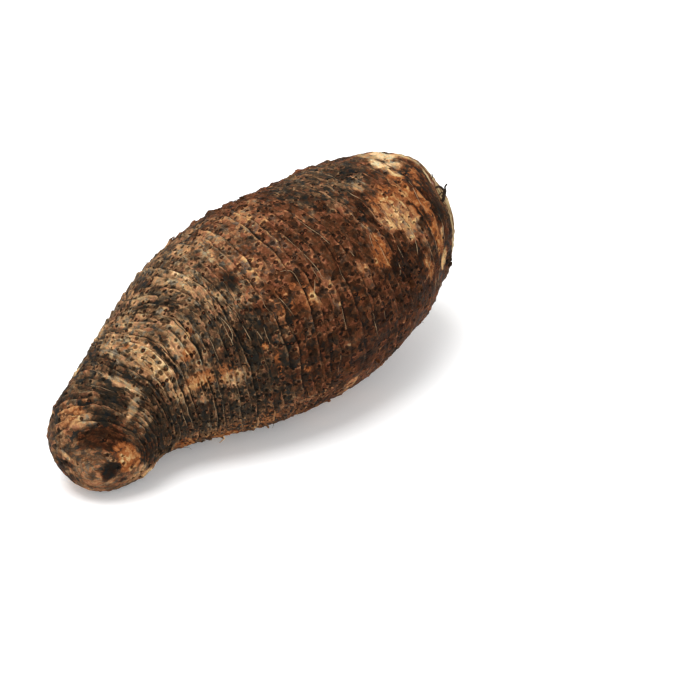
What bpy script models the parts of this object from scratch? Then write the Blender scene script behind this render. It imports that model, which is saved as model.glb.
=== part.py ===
"""A whole taro corm, lying on its belly with its narrow foot down.

Metres, +Z up. +X runs from the foot to the crown, and the origin is on the surface, under the middle of the
corm's box. The corm is turned as a straight tube of rows and columns, then wrapped round its curved axis.
Its rows follow the leaf scars, the rings that old leaves left. Lengths below are in millimetres.
"""

import math

import bmesh
import bpy
import numpy as np
from mathutils import Vector, noise

MM = 0.001

# The axis, from the foot to beyond the crown: along, across and up.
AXIS_POINTS = (
    (-125.3, -6.1, 22.0),
    (-113.3, 3.3, 24.6),
    (-93.3, 11.8, 29.1),
    (-67.3, 13.3, 36.1),
    (-39.3, 9.8, 44.6),
    (-9.3, 3.8, 51.4),
    (21.7, -1.5, 54.1),
    (55.7, -2.7, 57.1),
    (89.7, -1.7, 61.1),
    (110.7, -1.5, 63.4),
    (138.7, -3.2, 64.6),
)

# The outline beside that axis: distance along the axis, and radius.
OUTLINE_POINTS = (
    (2.6, 0.0),
    (3.2, 7.0),
    (5.2, 13.5),
    (9.4, 19.6),
    (16.0, 24.6),
    (25.0, 27.8),
    (42.0, 29.9),
    (58.0, 33.7),
    (75.0, 40.1),
    (95.0, 47.3),
    (116.0, 52.9),
    (148.0, 56.0),
    (181.0, 53.9),
    (204.0, 50.1),
    (227.0, 44.8),
    (242.0, 39.2),
    (251.5, 32.5),
    (256.0, 26.5),
    (257.4, 19.0),
    (257.0, 12.5),
    (259.5, 8.8),
    (263.5, 6.2),
    (265.5, 0.0),
)

# Leaf scars: their spacing at distances along the outline, the bare stretch at each end, and the step down
# beyond each one's lip, which varies from scar to scar and from place to place.
SCAR_SPACINGS = ((0.0, 3.4), (70.0, 4.4), (150.0, 5.6), (235.0, 7.0), (280.0, 4.6), (330.0, 4.2))
SCAR_JITTER = 0.2
SCAR_STEPS = (0.55, 1.45)
BARE_ENDS = 5.4
LIP_WIDTH = 0.9
STEP_CHANGE = 0.9
STEP_PATCH = 11.0

# How far the scars stray from flat rings: amplitude, waves round the girth, and length of one turn along.
SCAR_WAVES = ((1.5, 1, 210.0), (0.8, 2, -150.0), (0.45, 5, 95.0))
WAVE_FADE = 24.0

# On the narrow half's upper side the scars lean, away from the crown beyond the top and towards it in front:
# how far, the distance along the outline where they lean most, and how far from there it dies out.
LEAN_SIZE = 10.0
LEAN_MIDDLE = 94.0
LEAN_REACH = 26.0

# Slow swellings all over.
SWELL_HEIGHT = 1.1
SWELL_SIZE = 34.0

# Root pits: the share of the places between two scars that has one, and its depth.
PIT_SHARE = 0.3
PIT_DEPTH = 0.6

# Side buds: distance along the outline, degrees round from the top towards -Y, radius and height.
BUDS = (
    (77.0, 35.0, 6.0, 1.3),
    (138.0, -5.0, 7.0, 1.0),
    (120.0, 208.0, 10.0, 1.6),
    (182.0, 262.0, 11.0, 1.7),
    (226.0, 318.0, 10.0, 1.4),
)

# Other swellings and hollows, given in the same way: the scar where the corm broke from its parent,
# the flattened left and right of the foot, its waist, a knob on its side, and at the crown two leaf bases
# and two hollows.
DENTS = (
    (7.8, 77.0, 5.5, -1.2),
    (15.0, 262.0, 14.0, -2.2),
    (22.0, 130.0, 14.0, -1.4),
    (58.0, 122.0, 13.0, -1.6),
    (160.0, 66.0, 9.0, 1.2),
    (258.0, 19.0, 8.0, 1.5),
    (267.0, 10.0, 10.0, 1.6),
    (265.0, 46.0, 9.0, -2.4),
    (252.0, 98.0, 24.0, -3.0),
)
ROUNDNESS = 1.4

COLUMNS = 40
CURVE_STEPS = 24
TANGENT_REACH = 4.0

# The block that takes a little off underneath.
FLOOR_CUTTER = (400.0, 260.0, 30.0)

SKIN_COLOUR = (0.105, 0.060, 0.034, 1.0)
SKIN_ROUGHNESS = 0.85
SEED = 11


def smooth_curve(points):
    """Points on a smooth curve through the given ones, which bends no further than they do."""
    points = np.array(points, float)
    points = np.vstack([2 * points[0] - points[1], points, 2 * points[-1] - points[-2]])
    gaps = np.linalg.norm(np.diff(points, axis=0), axis=1) ** 0.5
    knots = np.concatenate([[0.0], np.cumsum(gaps)])
    curve = []
    for i in range(1, len(points) - 2):
        t0, t1, t2, t3 = knots[i - 1 : i + 3]
        p0, p1, p2, p3 = points[i - 1 : i + 3]
        for t in np.linspace(t1, t2, CURVE_STEPS, endpoint=False):
            a1 = ((t1 - t) * p0 + (t - t0) * p1) / (t1 - t0)
            a2 = ((t2 - t) * p1 + (t - t1) * p2) / (t2 - t1)
            a3 = ((t3 - t) * p2 + (t - t2) * p3) / (t3 - t2)
            b1 = ((t2 - t) * a1 + (t - t0) * a2) / (t2 - t0)
            b2 = ((t3 - t) * a2 + (t - t1) * a3) / (t3 - t1)
            curve.append(((t2 - t) * b1 + (t - t1) * b2) / (t2 - t1))
    return np.vstack([curve, points[-2]])


class Curve:
    """A smooth curve, read at distances along it."""

    def __init__(self, points):
        self.points = smooth_curve(points)
        gaps = np.linalg.norm(np.diff(self.points, axis=0), axis=1)
        self.distances = np.concatenate([[0.0], np.cumsum(gaps)])
        self.length = self.distances[-1]

    def at(self, where):
        return np.stack([np.interp(where, self.distances, part) for part in self.points.T], axis=-1)


AXIS = Curve(AXIS_POINTS)
OUTLINE = Curve(OUTLINE_POINTS)


def across(distance):
    """The axis's centre there, and its upward and sideways directions, at distances along it."""
    forward = AXIS.at(distance + TANGENT_REACH) - AXIS.at(distance - TANGENT_REACH)
    forward /= np.linalg.norm(forward, axis=-1, keepdims=True)
    side = np.cross(forward, (0.0, 0.0, 1.0))
    side /= np.linalg.norm(side, axis=-1, keepdims=True)
    return AXIS.at(distance), np.cross(side, forward), side


def scar_drift(along, angle):
    """How far a scar strays along the outline at an angle round the girth. It dies out at both ends."""
    fade = np.clip(np.minimum(along, OUTLINE.length - along) / WAVE_FADE, 0.0, 1.0)
    waves = (size * np.sin(n * angle + math.tau * along / turn) for size, n, turn in SCAR_WAVES)
    upper = ((1.0 + np.cos(angle)) / 2) ** 2
    near = np.exp(-(((along - LEAN_MIDDLE) / LEAN_REACH) ** 2))
    return fade * sum(waves) + LEAN_SIZE * np.sin(2 * angle) * upper * near


def skin_points(along, angle):
    """The smooth skin at distances along the outline and angles from the top, positive towards -Y."""
    outline = OUTLINE.at(along + scar_drift(along, angle))
    centre, up, side = across(outline[:, 0])
    return centre + outline[:, 1:] * (np.cos(angle)[:, None] * up + np.sin(angle)[:, None] * side)


def scars(random):
    """Distance along the outline and step of each leaf scar, from the foot to the crown."""
    where, spacing = zip(*SCAR_SPACINGS)
    found = []
    along = BARE_ENDS
    while along < OUTLINE.length - BARE_ENDS:
        found.append((along, random.uniform(*SCAR_STEPS)))
        along += np.interp(along, where, spacing) * (1 + SCAR_JITTER * random.uniform(-1, 1))
    return found


def tube_rows(random):
    """Distance and height of each row: a lip and the hollow beyond it at each scar, and plain rows at the ends."""
    rows = [(0.0, 0.0), (BARE_ENDS / 2, 0.0)]
    for along, step in scars(random):
        rows += [(along - LIP_WIDTH / 2, step / 2), (along + LIP_WIDTH / 2, -step / 2)]
    rows += [(OUTLINE.length - BARE_ENDS / 2, 0.0), (OUTLINE.length, 0.0)]
    return rows


def spun_tube(rows):
    """A straight tube of radius 1 along X, with a ring of vertices at each row and a point at each end."""
    tube = bmesh.new()
    last = len(rows) - 1
    line = [tube.verts.new((along, 0.0, float(0 < i < last))) for i, (along, _) in enumerate(rows)]
    edges = [tube.edges.new(pair) for pair in zip(line, line[1:])]
    bmesh.ops.spin(
        tube,
        geom=line + edges,
        cent=(0, 0, 0),
        axis=(1, 0, 0),
        angle=math.tau,
        steps=COLUMNS,
        use_merge=True,
    )
    bmesh.ops.remove_doubles(tube, verts=tube.verts, dist=1e-4)
    return tube


def lump(points, along, degrees, radius, height):
    """Height of one round swelling, or hollow, at each place on the skin."""
    middle = skin_points(np.array([along]), np.array([math.radians(degrees)]))
    distance = np.linalg.norm(points - middle, axis=1) / radius
    return height * np.exp(-ROUNDNESS * distance**2)


def relief(points, steps, random):
    """Height of the skin above its smooth shape: scar steps, swellings, buds and root pits."""
    height = sum(lump(points, *feature) for feature in BUDS + DENTS)
    for i, point in enumerate(points):
        height[i] += steps[i] * (1 + STEP_CHANGE * noise.noise(Vector(point / STEP_PATCH)))
        height[i] += SWELL_HEIGHT * noise.noise(Vector(point / SWELL_SIZE))
    pitted = (steps < 0) & (random.random(len(points)) < PIT_SHARE)
    return height - PIT_DEPTH * pitted


def corm_mesh():
    """The corm's closed skin: the tube wrapped round the axis, with its relief."""
    random = np.random.default_rng(SEED)
    rows = tube_rows(random)
    tube = spun_tube(rows)
    straight = np.array([vertex.co for vertex in tube.verts])
    places = np.array([place for place, _ in rows])
    row = np.abs(straight[:, :1] - places).argmin(axis=1)
    steps = np.array([step for _, step in rows])[row]
    points = skin_points(places[row], np.arctan2(-straight[:, 1], straight[:, 2]))
    for vertex, point in zip(tube.verts, points):
        vertex.co = point
    bmesh.ops.recalc_face_normals(tube, faces=tube.faces)
    tube.normal_update()
    for vertex, height in zip(tube.verts, relief(points, steps, random)):
        vertex.co += vertex.normal * height
    bmesh.ops.scale(tube, verts=tube.verts, vec=(MM, MM, MM))
    mesh = bpy.data.meshes.new("corm")
    tube.to_mesh(mesh)
    tube.free()
    return mesh


def skin_material():
    """Dark brown, dry skin."""
    material = bpy.data.materials.new("skin")
    material.use_nodes = True
    shader = material.node_tree.nodes["Principled BSDF"]
    shader.inputs["Base Color"].default_value = SKIN_COLOUR
    shader.inputs["Roughness"].default_value = SKIN_ROUGHNESS
    shader.inputs["Metallic"].default_value = 0.0
    return material


def floor_cutter():
    """A block under the surface. It leaves a small flat under the belly and another under the foot."""
    block = bmesh.new()
    bmesh.ops.create_cube(block, size=1.0)
    bmesh.ops.scale(block, verts=block.verts, vec=[side * MM for side in FLOOR_CUTTER])
    bmesh.ops.translate(block, verts=block.verts, vec=(0, 0, -FLOOR_CUTTER[2] * MM / 2))
    mesh = bpy.data.meshes.new("floor_cutter")
    block.to_mesh(mesh)
    block.free()
    cutter = bpy.data.objects.new("floor_cutter", mesh)
    cutter.hide_render = True
    cutter.display_type = "WIRE"
    bpy.context.scene.collection.objects.link(cutter)
    return cutter


def build_corm():
    """The corm, one solid that rests on the surface."""
    mesh = corm_mesh()
    mesh.shade_smooth()
    mesh.materials.append(skin_material())
    corm = bpy.data.objects.new("corm", mesh)
    bpy.context.scene.collection.objects.link(corm)
    flats = corm.modifiers.new("rest_flats", "BOOLEAN")
    flats.operation = "DIFFERENCE"
    flats.solver = "EXACT"
    flats.object = floor_cutter()
    return corm


for old in list(bpy.data.objects):
    bpy.data.objects.remove(old)
build_corm()
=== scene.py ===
"""The looks of a whole taro corm, which lies on its belly with its narrow foot down.

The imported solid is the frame. A finer skin stands for it, made the same way: a straight tube of rows and
columns, wrapped round a bent axis. A place on the skin is its distance along the outline from the foot, in
millimetres, and its degrees round from the top, positive towards -Y. Fibres, root threads, flakes of bark
and the crown's tuft are pieces of their own, seated on that skin.
"""

import logging
import math
from collections.abc import Callable, Iterable, Sequence
from dataclasses import dataclass, field
from enum import Enum
from typing import ClassVar

import bmesh
import bpy
import numpy as np
from mathutils import Matrix, Vector, noise
from mathutils.bvhtree import BVHTree
from mathutils.kdtree import KDTree


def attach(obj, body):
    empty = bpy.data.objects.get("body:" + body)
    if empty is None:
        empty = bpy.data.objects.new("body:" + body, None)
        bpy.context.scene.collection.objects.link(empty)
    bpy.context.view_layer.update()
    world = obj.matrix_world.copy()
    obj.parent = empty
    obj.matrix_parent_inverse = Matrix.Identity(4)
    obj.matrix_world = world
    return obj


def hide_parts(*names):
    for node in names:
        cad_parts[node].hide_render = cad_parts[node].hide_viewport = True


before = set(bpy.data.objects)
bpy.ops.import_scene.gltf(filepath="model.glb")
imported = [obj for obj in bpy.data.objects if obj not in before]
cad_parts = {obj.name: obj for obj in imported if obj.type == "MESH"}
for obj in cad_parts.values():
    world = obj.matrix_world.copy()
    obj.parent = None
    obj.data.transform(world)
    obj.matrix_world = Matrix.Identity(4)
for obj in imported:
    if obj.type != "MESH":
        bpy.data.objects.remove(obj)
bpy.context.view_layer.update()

LOG = logging.getLogger("taro_corm")
MM = 0.001
SEED = 11
FAR_OFF = 99.0

Colour = tuple[float, float, float]
Point = tuple[float, float, float]
Place = tuple[float, float]
Places = tuple[Place, ...]
Rows = tuple[tuple[float, ...], ...]
Stops = tuple[tuple[float, Colour], ...]
Socket = bpy.types.NodeSocket
Paint = Socket | Colour
Material = bpy.types.Material
Shape = bmesh.types.BMesh
Corners = Sequence[bmesh.types.BMVert]
Array = np.ndarray


class Tone(Enum):
    """What a patch of skin changes: how bare it is, how red its bark is, or how much rust it has."""

    BARE = 0
    RED = 1
    RUST = 2


class Hold(Enum):
    """How a flake of bark sits: flat on the skin, or lifted at one edge."""

    FLAT = 0.25
    LIFTED = 1.5


def ease(value: Array, start: float, end: float) -> Array:
    """Rise smoothly from 0 at start to 1 at end.

    Args:
        value: The numbers to ease.
        start: Where the rise starts.
        end: Where it ends. It may be below start.

    Returns:
        A number from 0 to 1 for each value.
    """
    share = np.clip((value - start) / (end - start), 0.0, 1.0)
    return share * share * (3.0 - 2.0 * share)


def soft_noise(points: Array, size: float, shift: float = 0.0) -> Array:
    """Read smooth noise at points.

    Args:
        points: Points in millimetres.
        size: The noise's grain, in millimetres.
        shift: Moves the noise, so that two of them differ.

    Returns:
        A number from about -1 to 1 for each point.
    """
    values = (noise.noise(Vector(point)) for point in points / size + shift)
    return np.fromiter(values, float, len(points))


def turned(degrees: Array | float, centre: Array | float) -> Array:
    """Degrees from the centre the short way round, from -180 to 180."""
    return (degrees - centre + 180.0) % 360.0 - 180.0


def show(thing: bpy.types.Object) -> None:
    """Put an object in the scene."""
    bpy.context.scene.collection.objects.link(thing)


class Curve:
    """A smooth curve through points, read at distances along it."""

    STEPS = 24

    def __init__(self, points: Sequence[Sequence[float]]) -> None:
        """Draw the curve.

        Args:
            points: The points that it goes through.
        """
        self.points = self._smooth(np.array(points, float))
        gaps = np.linalg.norm(np.diff(self.points, axis=0), axis=1)
        self.distances = np.concatenate([[0.0], np.cumsum(gaps)])
        self.length = self.distances[-1]

    def _smooth(self, points: Array) -> Array:
        """Fill in points between the given ones, bending no further than they do.

        Args:
            points: The given points.

        Returns:
            The points of the curve, closely spaced.
        """
        points = np.vstack([2 * points[0] - points[1], points, 2 * points[-1] - points[-2]])
        gaps = np.linalg.norm(np.diff(points, axis=0), axis=1) ** 0.5
        knots = np.concatenate([[0.0], np.cumsum(gaps)])
        curve = []
        for i in range(1, len(points) - 2):
            t0, t1, t2, t3 = knots[i - 1 : i + 3]
            p0, p1, p2, p3 = points[i - 1 : i + 3]
            for t in np.linspace(t1, t2, self.STEPS, endpoint=False):
                a1 = ((t1 - t) * p0 + (t - t0) * p1) / (t1 - t0)
                a2 = ((t2 - t) * p1 + (t - t1) * p2) / (t2 - t1)
                a3 = ((t3 - t) * p2 + (t - t2) * p3) / (t3 - t2)
                b1 = ((t2 - t) * a1 + (t - t0) * a2) / (t2 - t0)
                b2 = ((t3 - t) * a2 + (t - t1) * a3) / (t3 - t1)
                curve.append(((t2 - t) * b1 + (t - t1) * b2) / (t2 - t1))
        return np.vstack([curve, points[-2]])

    def at(self, where: Array) -> Array:
        """The curve's points at distances along it."""
        return np.stack([np.interp(where, self.distances, part) for part in self.points.T], axis=-1)


@dataclass
class CormForm:
    """The corm's smooth shape: an outline turned round a bent axis, in millimetres."""

    axis_points: Rows = (
        (-125.3, -6.1, 22.0), (-113.3, 3.3, 24.6), (-93.3, 11.8, 29.1), (-67.3, 13.3, 36.1),
        (-39.3, 9.8, 44.6), (-9.3, 3.8, 51.4), (21.7, -1.5, 54.1), (55.7, -2.7, 57.1),
        (89.7, -1.7, 61.1), (110.7, -1.5, 63.4), (138.7, -3.2, 64.6),
    )
    outline_points: Rows = (
        (2.6, 0.0), (3.2, 7.0), (5.2, 13.5), (9.4, 19.6), (16.0, 24.6), (25.0, 27.8),
        (42.0, 29.9), (58.0, 33.7), (75.0, 40.1), (95.0, 47.3), (116.0, 52.9), (148.0, 56.0),
        (181.0, 53.9), (204.0, 50.1), (227.0, 44.8), (242.0, 39.2), (251.5, 32.5), (256.0, 26.5),
        (257.4, 19.0), (257.0, 12.5), (259.5, 8.8), (263.5, 6.2), (265.5, 0.0),
    )
    scar_waves: Rows = ((1.5, 1, 210.0), (0.8, 2, -150.0), (0.45, 5, 95.0))
    wave_fade: float = 24.0
    lean_size: float = 10.0
    lean_middle: float = 94.0
    lean_reach: float = 26.0
    tangent_reach: float = 4.0
    swell_height: float = 1.1
    swell_size: float = 34.0
    roundness: float = 1.4
    buds: Rows = (
        (77.0, 35.0, 6.0, 1.3), (138.0, -5.0, 7.0, 1.0), (120.0, 208.0, 10.0, 1.6),
        (182.0, 262.0, 11.0, 1.7), (226.0, 318.0, 10.0, 1.4),
    )
    dents: Rows = (
        (7.8, 77.0, 5.5, -1.2), (15.0, 262.0, 14.0, -2.2), (22.0, 130.0, 14.0, -1.4),
        (58.0, 122.0, 13.0, -1.6), (160.0, 66.0, 9.0, 1.2), (258.0, 19.0, 8.0, 1.5),
        (267.0, 10.0, 10.0, 1.6), (265.0, 46.0, 9.0, -2.4), (252.0, 98.0, 24.0, -3.0),
    )
    axis: Curve = field(init=False)
    outline: Curve = field(init=False)

    def __post_init__(self) -> None:
        """Draw the two curves."""
        self.axis = Curve(self.axis_points)
        self.outline = Curve(self.outline_points)

    @property
    def length(self) -> float:
        """Length of the outline, from the foot's middle to the crown's."""
        return self.outline.length

    def radius(self, along: Array) -> Array:
        """Distance of the skin from the axis."""
        return self.outline.at(along)[..., 1]

    def across(self, distance: Array) -> tuple[Array, Array, Array]:
        """Find the axis and the two directions across it.

        Args:
            distance: Distances along the axis.

        Returns:
            The axis's points, and its upward and sideways directions there.
        """
        reach = self.tangent_reach
        forward = self.axis.at(distance + reach) - self.axis.at(distance - reach)
        forward /= np.linalg.norm(forward, axis=-1, keepdims=True)
        side = np.cross(forward, (0.0, 0.0, 1.0))
        side /= np.linalg.norm(side, axis=-1, keepdims=True)
        return self.axis.at(distance), np.cross(side, forward), side

    def scar_drift(self, along: Array, angle: Array) -> Array:
        """How far a scar strays along the outline on its way round. It dies out at both ends.

        Args:
            along: The scar's distance along the outline.
            angle: Where round the girth, in radians.

        Returns:
            The shift along the outline.
        """
        fade = np.clip(np.minimum(along, self.length - along) / self.wave_fade, 0.0, 1.0)
        waves = (size * np.sin(n * angle + math.tau * along / turn) for size, n, turn in self.scar_waves)
        return fade * sum(waves)

    def lean(self, along: Array, angle: Array) -> Array:
        """How far a scar on the narrow half leans: back beyond the top, and forward in front.

        Args:
            along: The scar's distance along the outline.
            angle: Where round the girth, in radians.

        Returns:
            The shift along the outline.
        """
        upper = ((1.0 + np.cos(angle)) / 2) ** 2
        near = np.exp(-(((along - self.lean_middle) / self.lean_reach) ** 2))
        return self.lean_size * np.sin(2 * angle) * upper * near

    def skin(self, along: Array, angle: Array, leans: bool = True) -> Array:
        """Place points on the smooth skin.

        Args:
            along: Distances along the outline.
            angle: Angles from the top in radians, positive towards -Y.
            leans: Whether the distances lean as the scars do.

        Returns:
            One point for each pair, in millimetres.
        """
        shift = self.scar_drift(along, angle) + leans * self.lean(along, angle)
        outline = self.outline.at(along + shift)
        centre, up, side = self.across(outline[:, 0])
        return centre + outline[:, 1:] * (np.cos(angle)[:, None] * up + np.sin(angle)[:, None] * side)

    def point(self, along: float, degrees: float) -> Array:
        """One point on the smooth skin."""
        return self.skin(np.array([along]), np.radians([degrees]))[0]

    def unrolled(self, along: Array, angle: Array) -> Array:
        """Turn places into the points at which the finishes read their noise.

        Args:
            along: Distances along the outline.
            angle: Angles in radians.

        Returns:
            One point for each, in millimetres, as if the axis were straight.
        """
        radius = self.radius(along)
        return np.stack([along, radius * np.cos(angle), radius * np.sin(angle)], axis=1)

    def swellings(self, points: Array) -> Array:
        """Add up the slow swellings, the buds and the dents.

        Args:
            points: Points on the smooth skin.

        Returns:
            Height above the smooth skin at each point, in millimetres.
        """
        height = self.swell_height * soft_noise(points, self.swell_size)
        for along, degrees, radius, rise in self.buds + self.dents:
            distance = np.linalg.norm(points - self.point(along, degrees), axis=1) / radius
            height += rise * np.exp(-self.roundness * distance**2)
        return height


@dataclass
class LeafScars:
    """The rings that old leaves left. Each is a lip, with a hollow beyond it on the crown's side."""

    form: CormForm
    random: np.random.Generator
    spacings: Places = (
        (0.0, 3.4), (70.0, 4.4), (150.0, 5.6), (235.0, 7.0), (280.0, 4.6), (330.0, 4.2),
    )
    jitter: float = 0.2
    steps: Place = (0.55, 1.45)
    bare_ends: float = 5.4
    step_change: float = 0.9
    step_patch: float = 11.0
    foot_fade: Place = (10.0, 30.0)
    places: Array = field(init=False)
    heights: Array = field(init=False)

    def __post_init__(self) -> None:
        """Draw each scar's place and step, in the order in which the solid draws them."""
        where, spacing = zip(*self.spacings)
        found = []
        along = self.bare_ends
        while along < self.form.length - self.bare_ends:
            found.append((along, self.random.uniform(*self.steps)))
            along += np.interp(along, where, spacing) * (1 + self.jitter * self.random.uniform(-1, 1))
        self.places, self.heights = np.array(found).T

    def strength(self, along: Array, points: Array) -> Array:
        """How strong the steps are at places on the skin: it varies, and they die out on the foot."""
        return ease(along, *self.foot_fade) * (1 + self.step_change * soft_noise(points, self.step_patch))


@dataclass(frozen=True)
class SkinSpots:
    """The skin's vertices: their rows, distances along the outline, angles, and points on the smooth skin."""

    row: Array
    along: Array
    angle: Array
    smooth: Array


@dataclass
class SkinGrid:
    """The rows and columns of the fine skin. Rows follow the scars, and bands of skin lie between them."""

    form: CormForm
    scars: LeafScars
    columns: int = 300
    row_gap: float = 1.24
    lip: float = 0.3
    sway: float = 1.1
    sway_size: float = 12.0
    flutter: float = 0.6
    flutter_size: float = 4.4
    rows: Array = field(init=False)
    row_band: Array = field(init=False)
    band_start: Array = field(init=False)
    band_end: Array = field(init=False)
    band_steps: Array = field(init=False)

    def __post_init__(self) -> None:
        """Lay out the rows, band by band."""
        self.band_start = np.concatenate([[0.0], self.scars.places + self.lip])
        self.band_end = np.concatenate([self.scars.places - self.lip, [self.form.length]])
        self.band_steps = np.concatenate([[0.0], self.scars.heights, [0.0]])
        rows, bands = [], []
        for band, (start, end) in enumerate(zip(self.band_start, self.band_end)):
            count = max(2, round((end - start) / self.row_gap) + 1)
            rows += list(np.linspace(start, end, count))
            bands += [band] * count
        self.rows = np.array(rows)
        self.row_band = np.array(bands)

    def spun_tube(self) -> Shape:
        """Spin a straight tube of radius 1 along X, with a ring at each row and a point at each end.

        Returns:
            The tube, in millimetres.
        """
        tube = bmesh.new()
        last = len(self.rows) - 1
        line = [tube.verts.new((row, 0.0, float(0 < i < last))) for i, row in enumerate(self.rows)]
        edges = [tube.edges.new(pair) for pair in zip(line, line[1:])]
        bmesh.ops.spin(
            tube, geom=line + edges, cent=(0, 0, 0), axis=(1, 0, 0), angle=math.tau,
            steps=self.columns, use_merge=True,
        )
        bmesh.ops.remove_doubles(tube, verts=tube.verts, dist=1e-4)
        return tube

    def spots(self, straight: Array) -> SkinSpots:
        """Read where the vertices of the straight tube go.

        Args:
            straight: The tube's vertices.

        Returns:
            Their spots on the skin.
        """
        middles = (self.rows[1:] + self.rows[:-1]) / 2
        row = np.searchsorted(middles, straight[:, 0])
        angle = np.arctan2(-straight[:, 1], straight[:, 2])
        along = self.strayed(self.rows[row], angle)
        return SkinSpots(row, along, angle, self.form.skin(along, angle))

    def strayed(self, place: Array, angle: Array) -> Array:
        """Let rows sway and flutter.

        Args:
            place: The rows' distances along the outline.
            angle: The angle at which each is read.

        Returns:
            Where each row runs there.
        """
        flat = self.form.skin(place, angle)
        fade = ease(np.minimum(place, self.form.length - place), 0.0, self.form.wave_fade)
        sway = self.sway * soft_noise(flat, self.sway_size, 3.7)
        flutter = self.flutter * soft_noise(flat, self.flutter_size, 9.2)
        return place + fade * (sway + flutter)


@dataclass(frozen=True)
class PitZone:
    """A stretch of skin where root pits are denser or sparser, and larger or smaller, than elsewhere."""

    along: float
    degrees: float
    half_along: float
    half_degrees: float
    chance: float
    scale: float

    def holds(self, along: float, degrees: float) -> bool:
        """Whether a place lies in the zone."""
        round_it = abs(turned(degrees, self.degrees)) < self.half_degrees
        return bool(round_it and abs(along - self.along) < self.half_along)


@dataclass
class RootPits:
    """The round pits where roots grew, in staggered lines in each band of skin."""

    grid: SkinGrid
    random: np.random.Generator
    spacing: float = 4.7
    line_gap: float = 2.6
    jitter: float = 0.24
    chances: Places = (
        (0.0, 0.12), (30.0, 0.3), (62.0, 0.55), (90.0, 0.8),
        (190.0, 0.62), (225.0, 0.4), (262.0, 0.08), (268.0, 0.0),
    )
    radii: Place = (0.55, 0.95)
    depth: float = 0.85
    wall: float = 0.95
    rim_height: float = 0.17
    rim_reach: float = 1.75
    rim_width: float = 0.5
    zones: tuple[PitZone, ...] = (
        PitZone(73.0, 22.0, 7.5, 30.0, 0.97, 1.35), PitZone(125.0, 21.0, 3.5, 7.0, 0.0, 1.0),
        PitZone(132.0, 21.0, 3.0, 7.0, 0.15, 1.0), PitZone(196.5, 50.0, 5.5, 8.5, 0.05, 0.7),
        PitZone(221.0, 41.0, 8.0, 13.0, 0.9, 0.5), PitZone(206.0, 67.0, 6.0, 9.0, 0.95, 1.3),
        PitZone(138.0, -5.0, 2.5, 8.0, 0.0, 1.0), PitZone(38.0, 12.0, 10.0, 18.0, 0.1, 0.8),
    )
    places: Array = field(init=False)

    def __post_init__(self) -> None:
        """Draw the pits: distance along, angle, radius and a number of its own for each."""
        form, found = self.grid.form, []
        where, chance = zip(*self.chances)
        for start, end in zip(self.grid.band_start, self.grid.band_end):
            lines = max(1, round((end - start) / self.line_gap))
            for line in range(lines):
                along = start + (end - start) * (line + 0.5) / lines
                count = int(math.tau * form.radius(np.array([along]))[0] / self.spacing)
                first = self.random.uniform(0, math.tau)
                for i in range(count):
                    angle = first + math.tau * (i + self.jitter * self.random.uniform(-1, 1)) / count
                    shift = self.jitter * (end - start) / lines * self.random.uniform(-1, 1)
                    keep, size, own = self.random.random(3)
                    place = along + form.lean(along, angle)
                    odds, scale = self._zone(place, math.degrees(angle), np.interp(along, where, chance))
                    if keep < odds:
                        radius = scale * (self.radii[0] + (self.radii[1] - self.radii[0]) * size)
                        found.append((along + shift, angle, radius, own))
        self.places = np.array(found)

    def _zone(self, along: float, degrees: float, chance: float) -> Place:
        """Find how likely and how large a pit is at a place.

        Args:
            along: Distance along the outline.
            degrees: Degrees round.
            chance: The chance outside every zone.

        Returns:
            The chance and the scale: the zone's, or else the plain ones.
        """
        for zone in self.zones:
            if zone.holds(along, degrees):
                return zone.chance, zone.scale
        return chance, 1.0

    def centres(self) -> Array:
        """Where the pits are on the smooth skin."""
        return self.grid.form.skin(self.places[:, 0], self.places[:, 1])

    def nearest(self, points: Array) -> tuple[Array, Array]:
        """Find the pit nearest to each point.

        Args:
            points: Points on the smooth skin.

        Returns:
            Each point's pit, by number, and its distance.
        """
        centres = self.centres()
        tree = KDTree(len(centres))
        for i, centre in enumerate(centres):
            tree.insert(Vector(centre), i)
        tree.balance()
        found = [tree.find(Vector(point))[1:] for point in points]
        numbers, distances = zip(*found)
        return np.array(numbers), np.array(distances)

    def hollow(self, points: Array) -> Array:
        """Depth of the pits, with the slight rim that each one has.

        Args:
            points: Points on the smooth skin.

        Returns:
            Height above the skin at each point, below zero in a pit.
        """
        number, distance = self.nearest(points)
        radius = self.places[number, 2]
        deep = self.depth * radius * np.exp(-((distance / (self.wall * radius)) ** 2))
        rim = self.rim_height * np.exp(-(((distance - self.rim_reach * radius) / self.rim_width) ** 2))
        return rim - deep


@dataclass(frozen=True)
class Fold:
    """A long ridge or groove in the skin, round the place (along, degrees)."""

    along: float
    degrees: float
    half_along: float
    half_degrees: float
    rise: float
    edge: float = 1.2

    def height(self, along: Array, degrees: Array) -> Array:
        """Height of the fold.

        Args:
            along: Distances along the outline.
            degrees: Degrees round.

        Returns:
            The height at each place, in millimetres.
        """
        reach = (along - self.along) / self.half_along
        round_it = turned(degrees, self.degrees) / self.half_degrees
        return self.rise * np.exp(-self.edge * (reach**2 + round_it**4))


@dataclass(frozen=True)
class Patch:
    """A patch of skin with a tone of its own, round the place (along, degrees).

    Its half sizes are in millimetres along and in degrees round. Slant is in millimetres along for each
    degree, and the edge gives where it ends and where it is whole.
    """

    tone: Tone
    value: float
    along: float
    degrees: float
    half_along: float
    half_degrees: float
    slant: float = 0.0
    raggedness: ClassVar[float] = 0.5
    edge: ClassVar[Place] = (1.3, 0.7)

    def weight(self, along: Array, degrees: Array, ragged: Array) -> Array:
        """Share of the patch at each place.

        Args:
            along: Distances along the outline.
            degrees: Degrees round.
            ragged: Noise that makes the edge ragged.

        Returns:
            1 inside, 0 outside, and between them at the edge.
        """
        round_it = turned(degrees, self.degrees)
        reach = (along - self.along - self.slant * round_it) / self.half_along
        return ease(np.hypot(reach, round_it / self.half_degrees) + self.raggedness * ragged, *self.edge)


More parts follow.
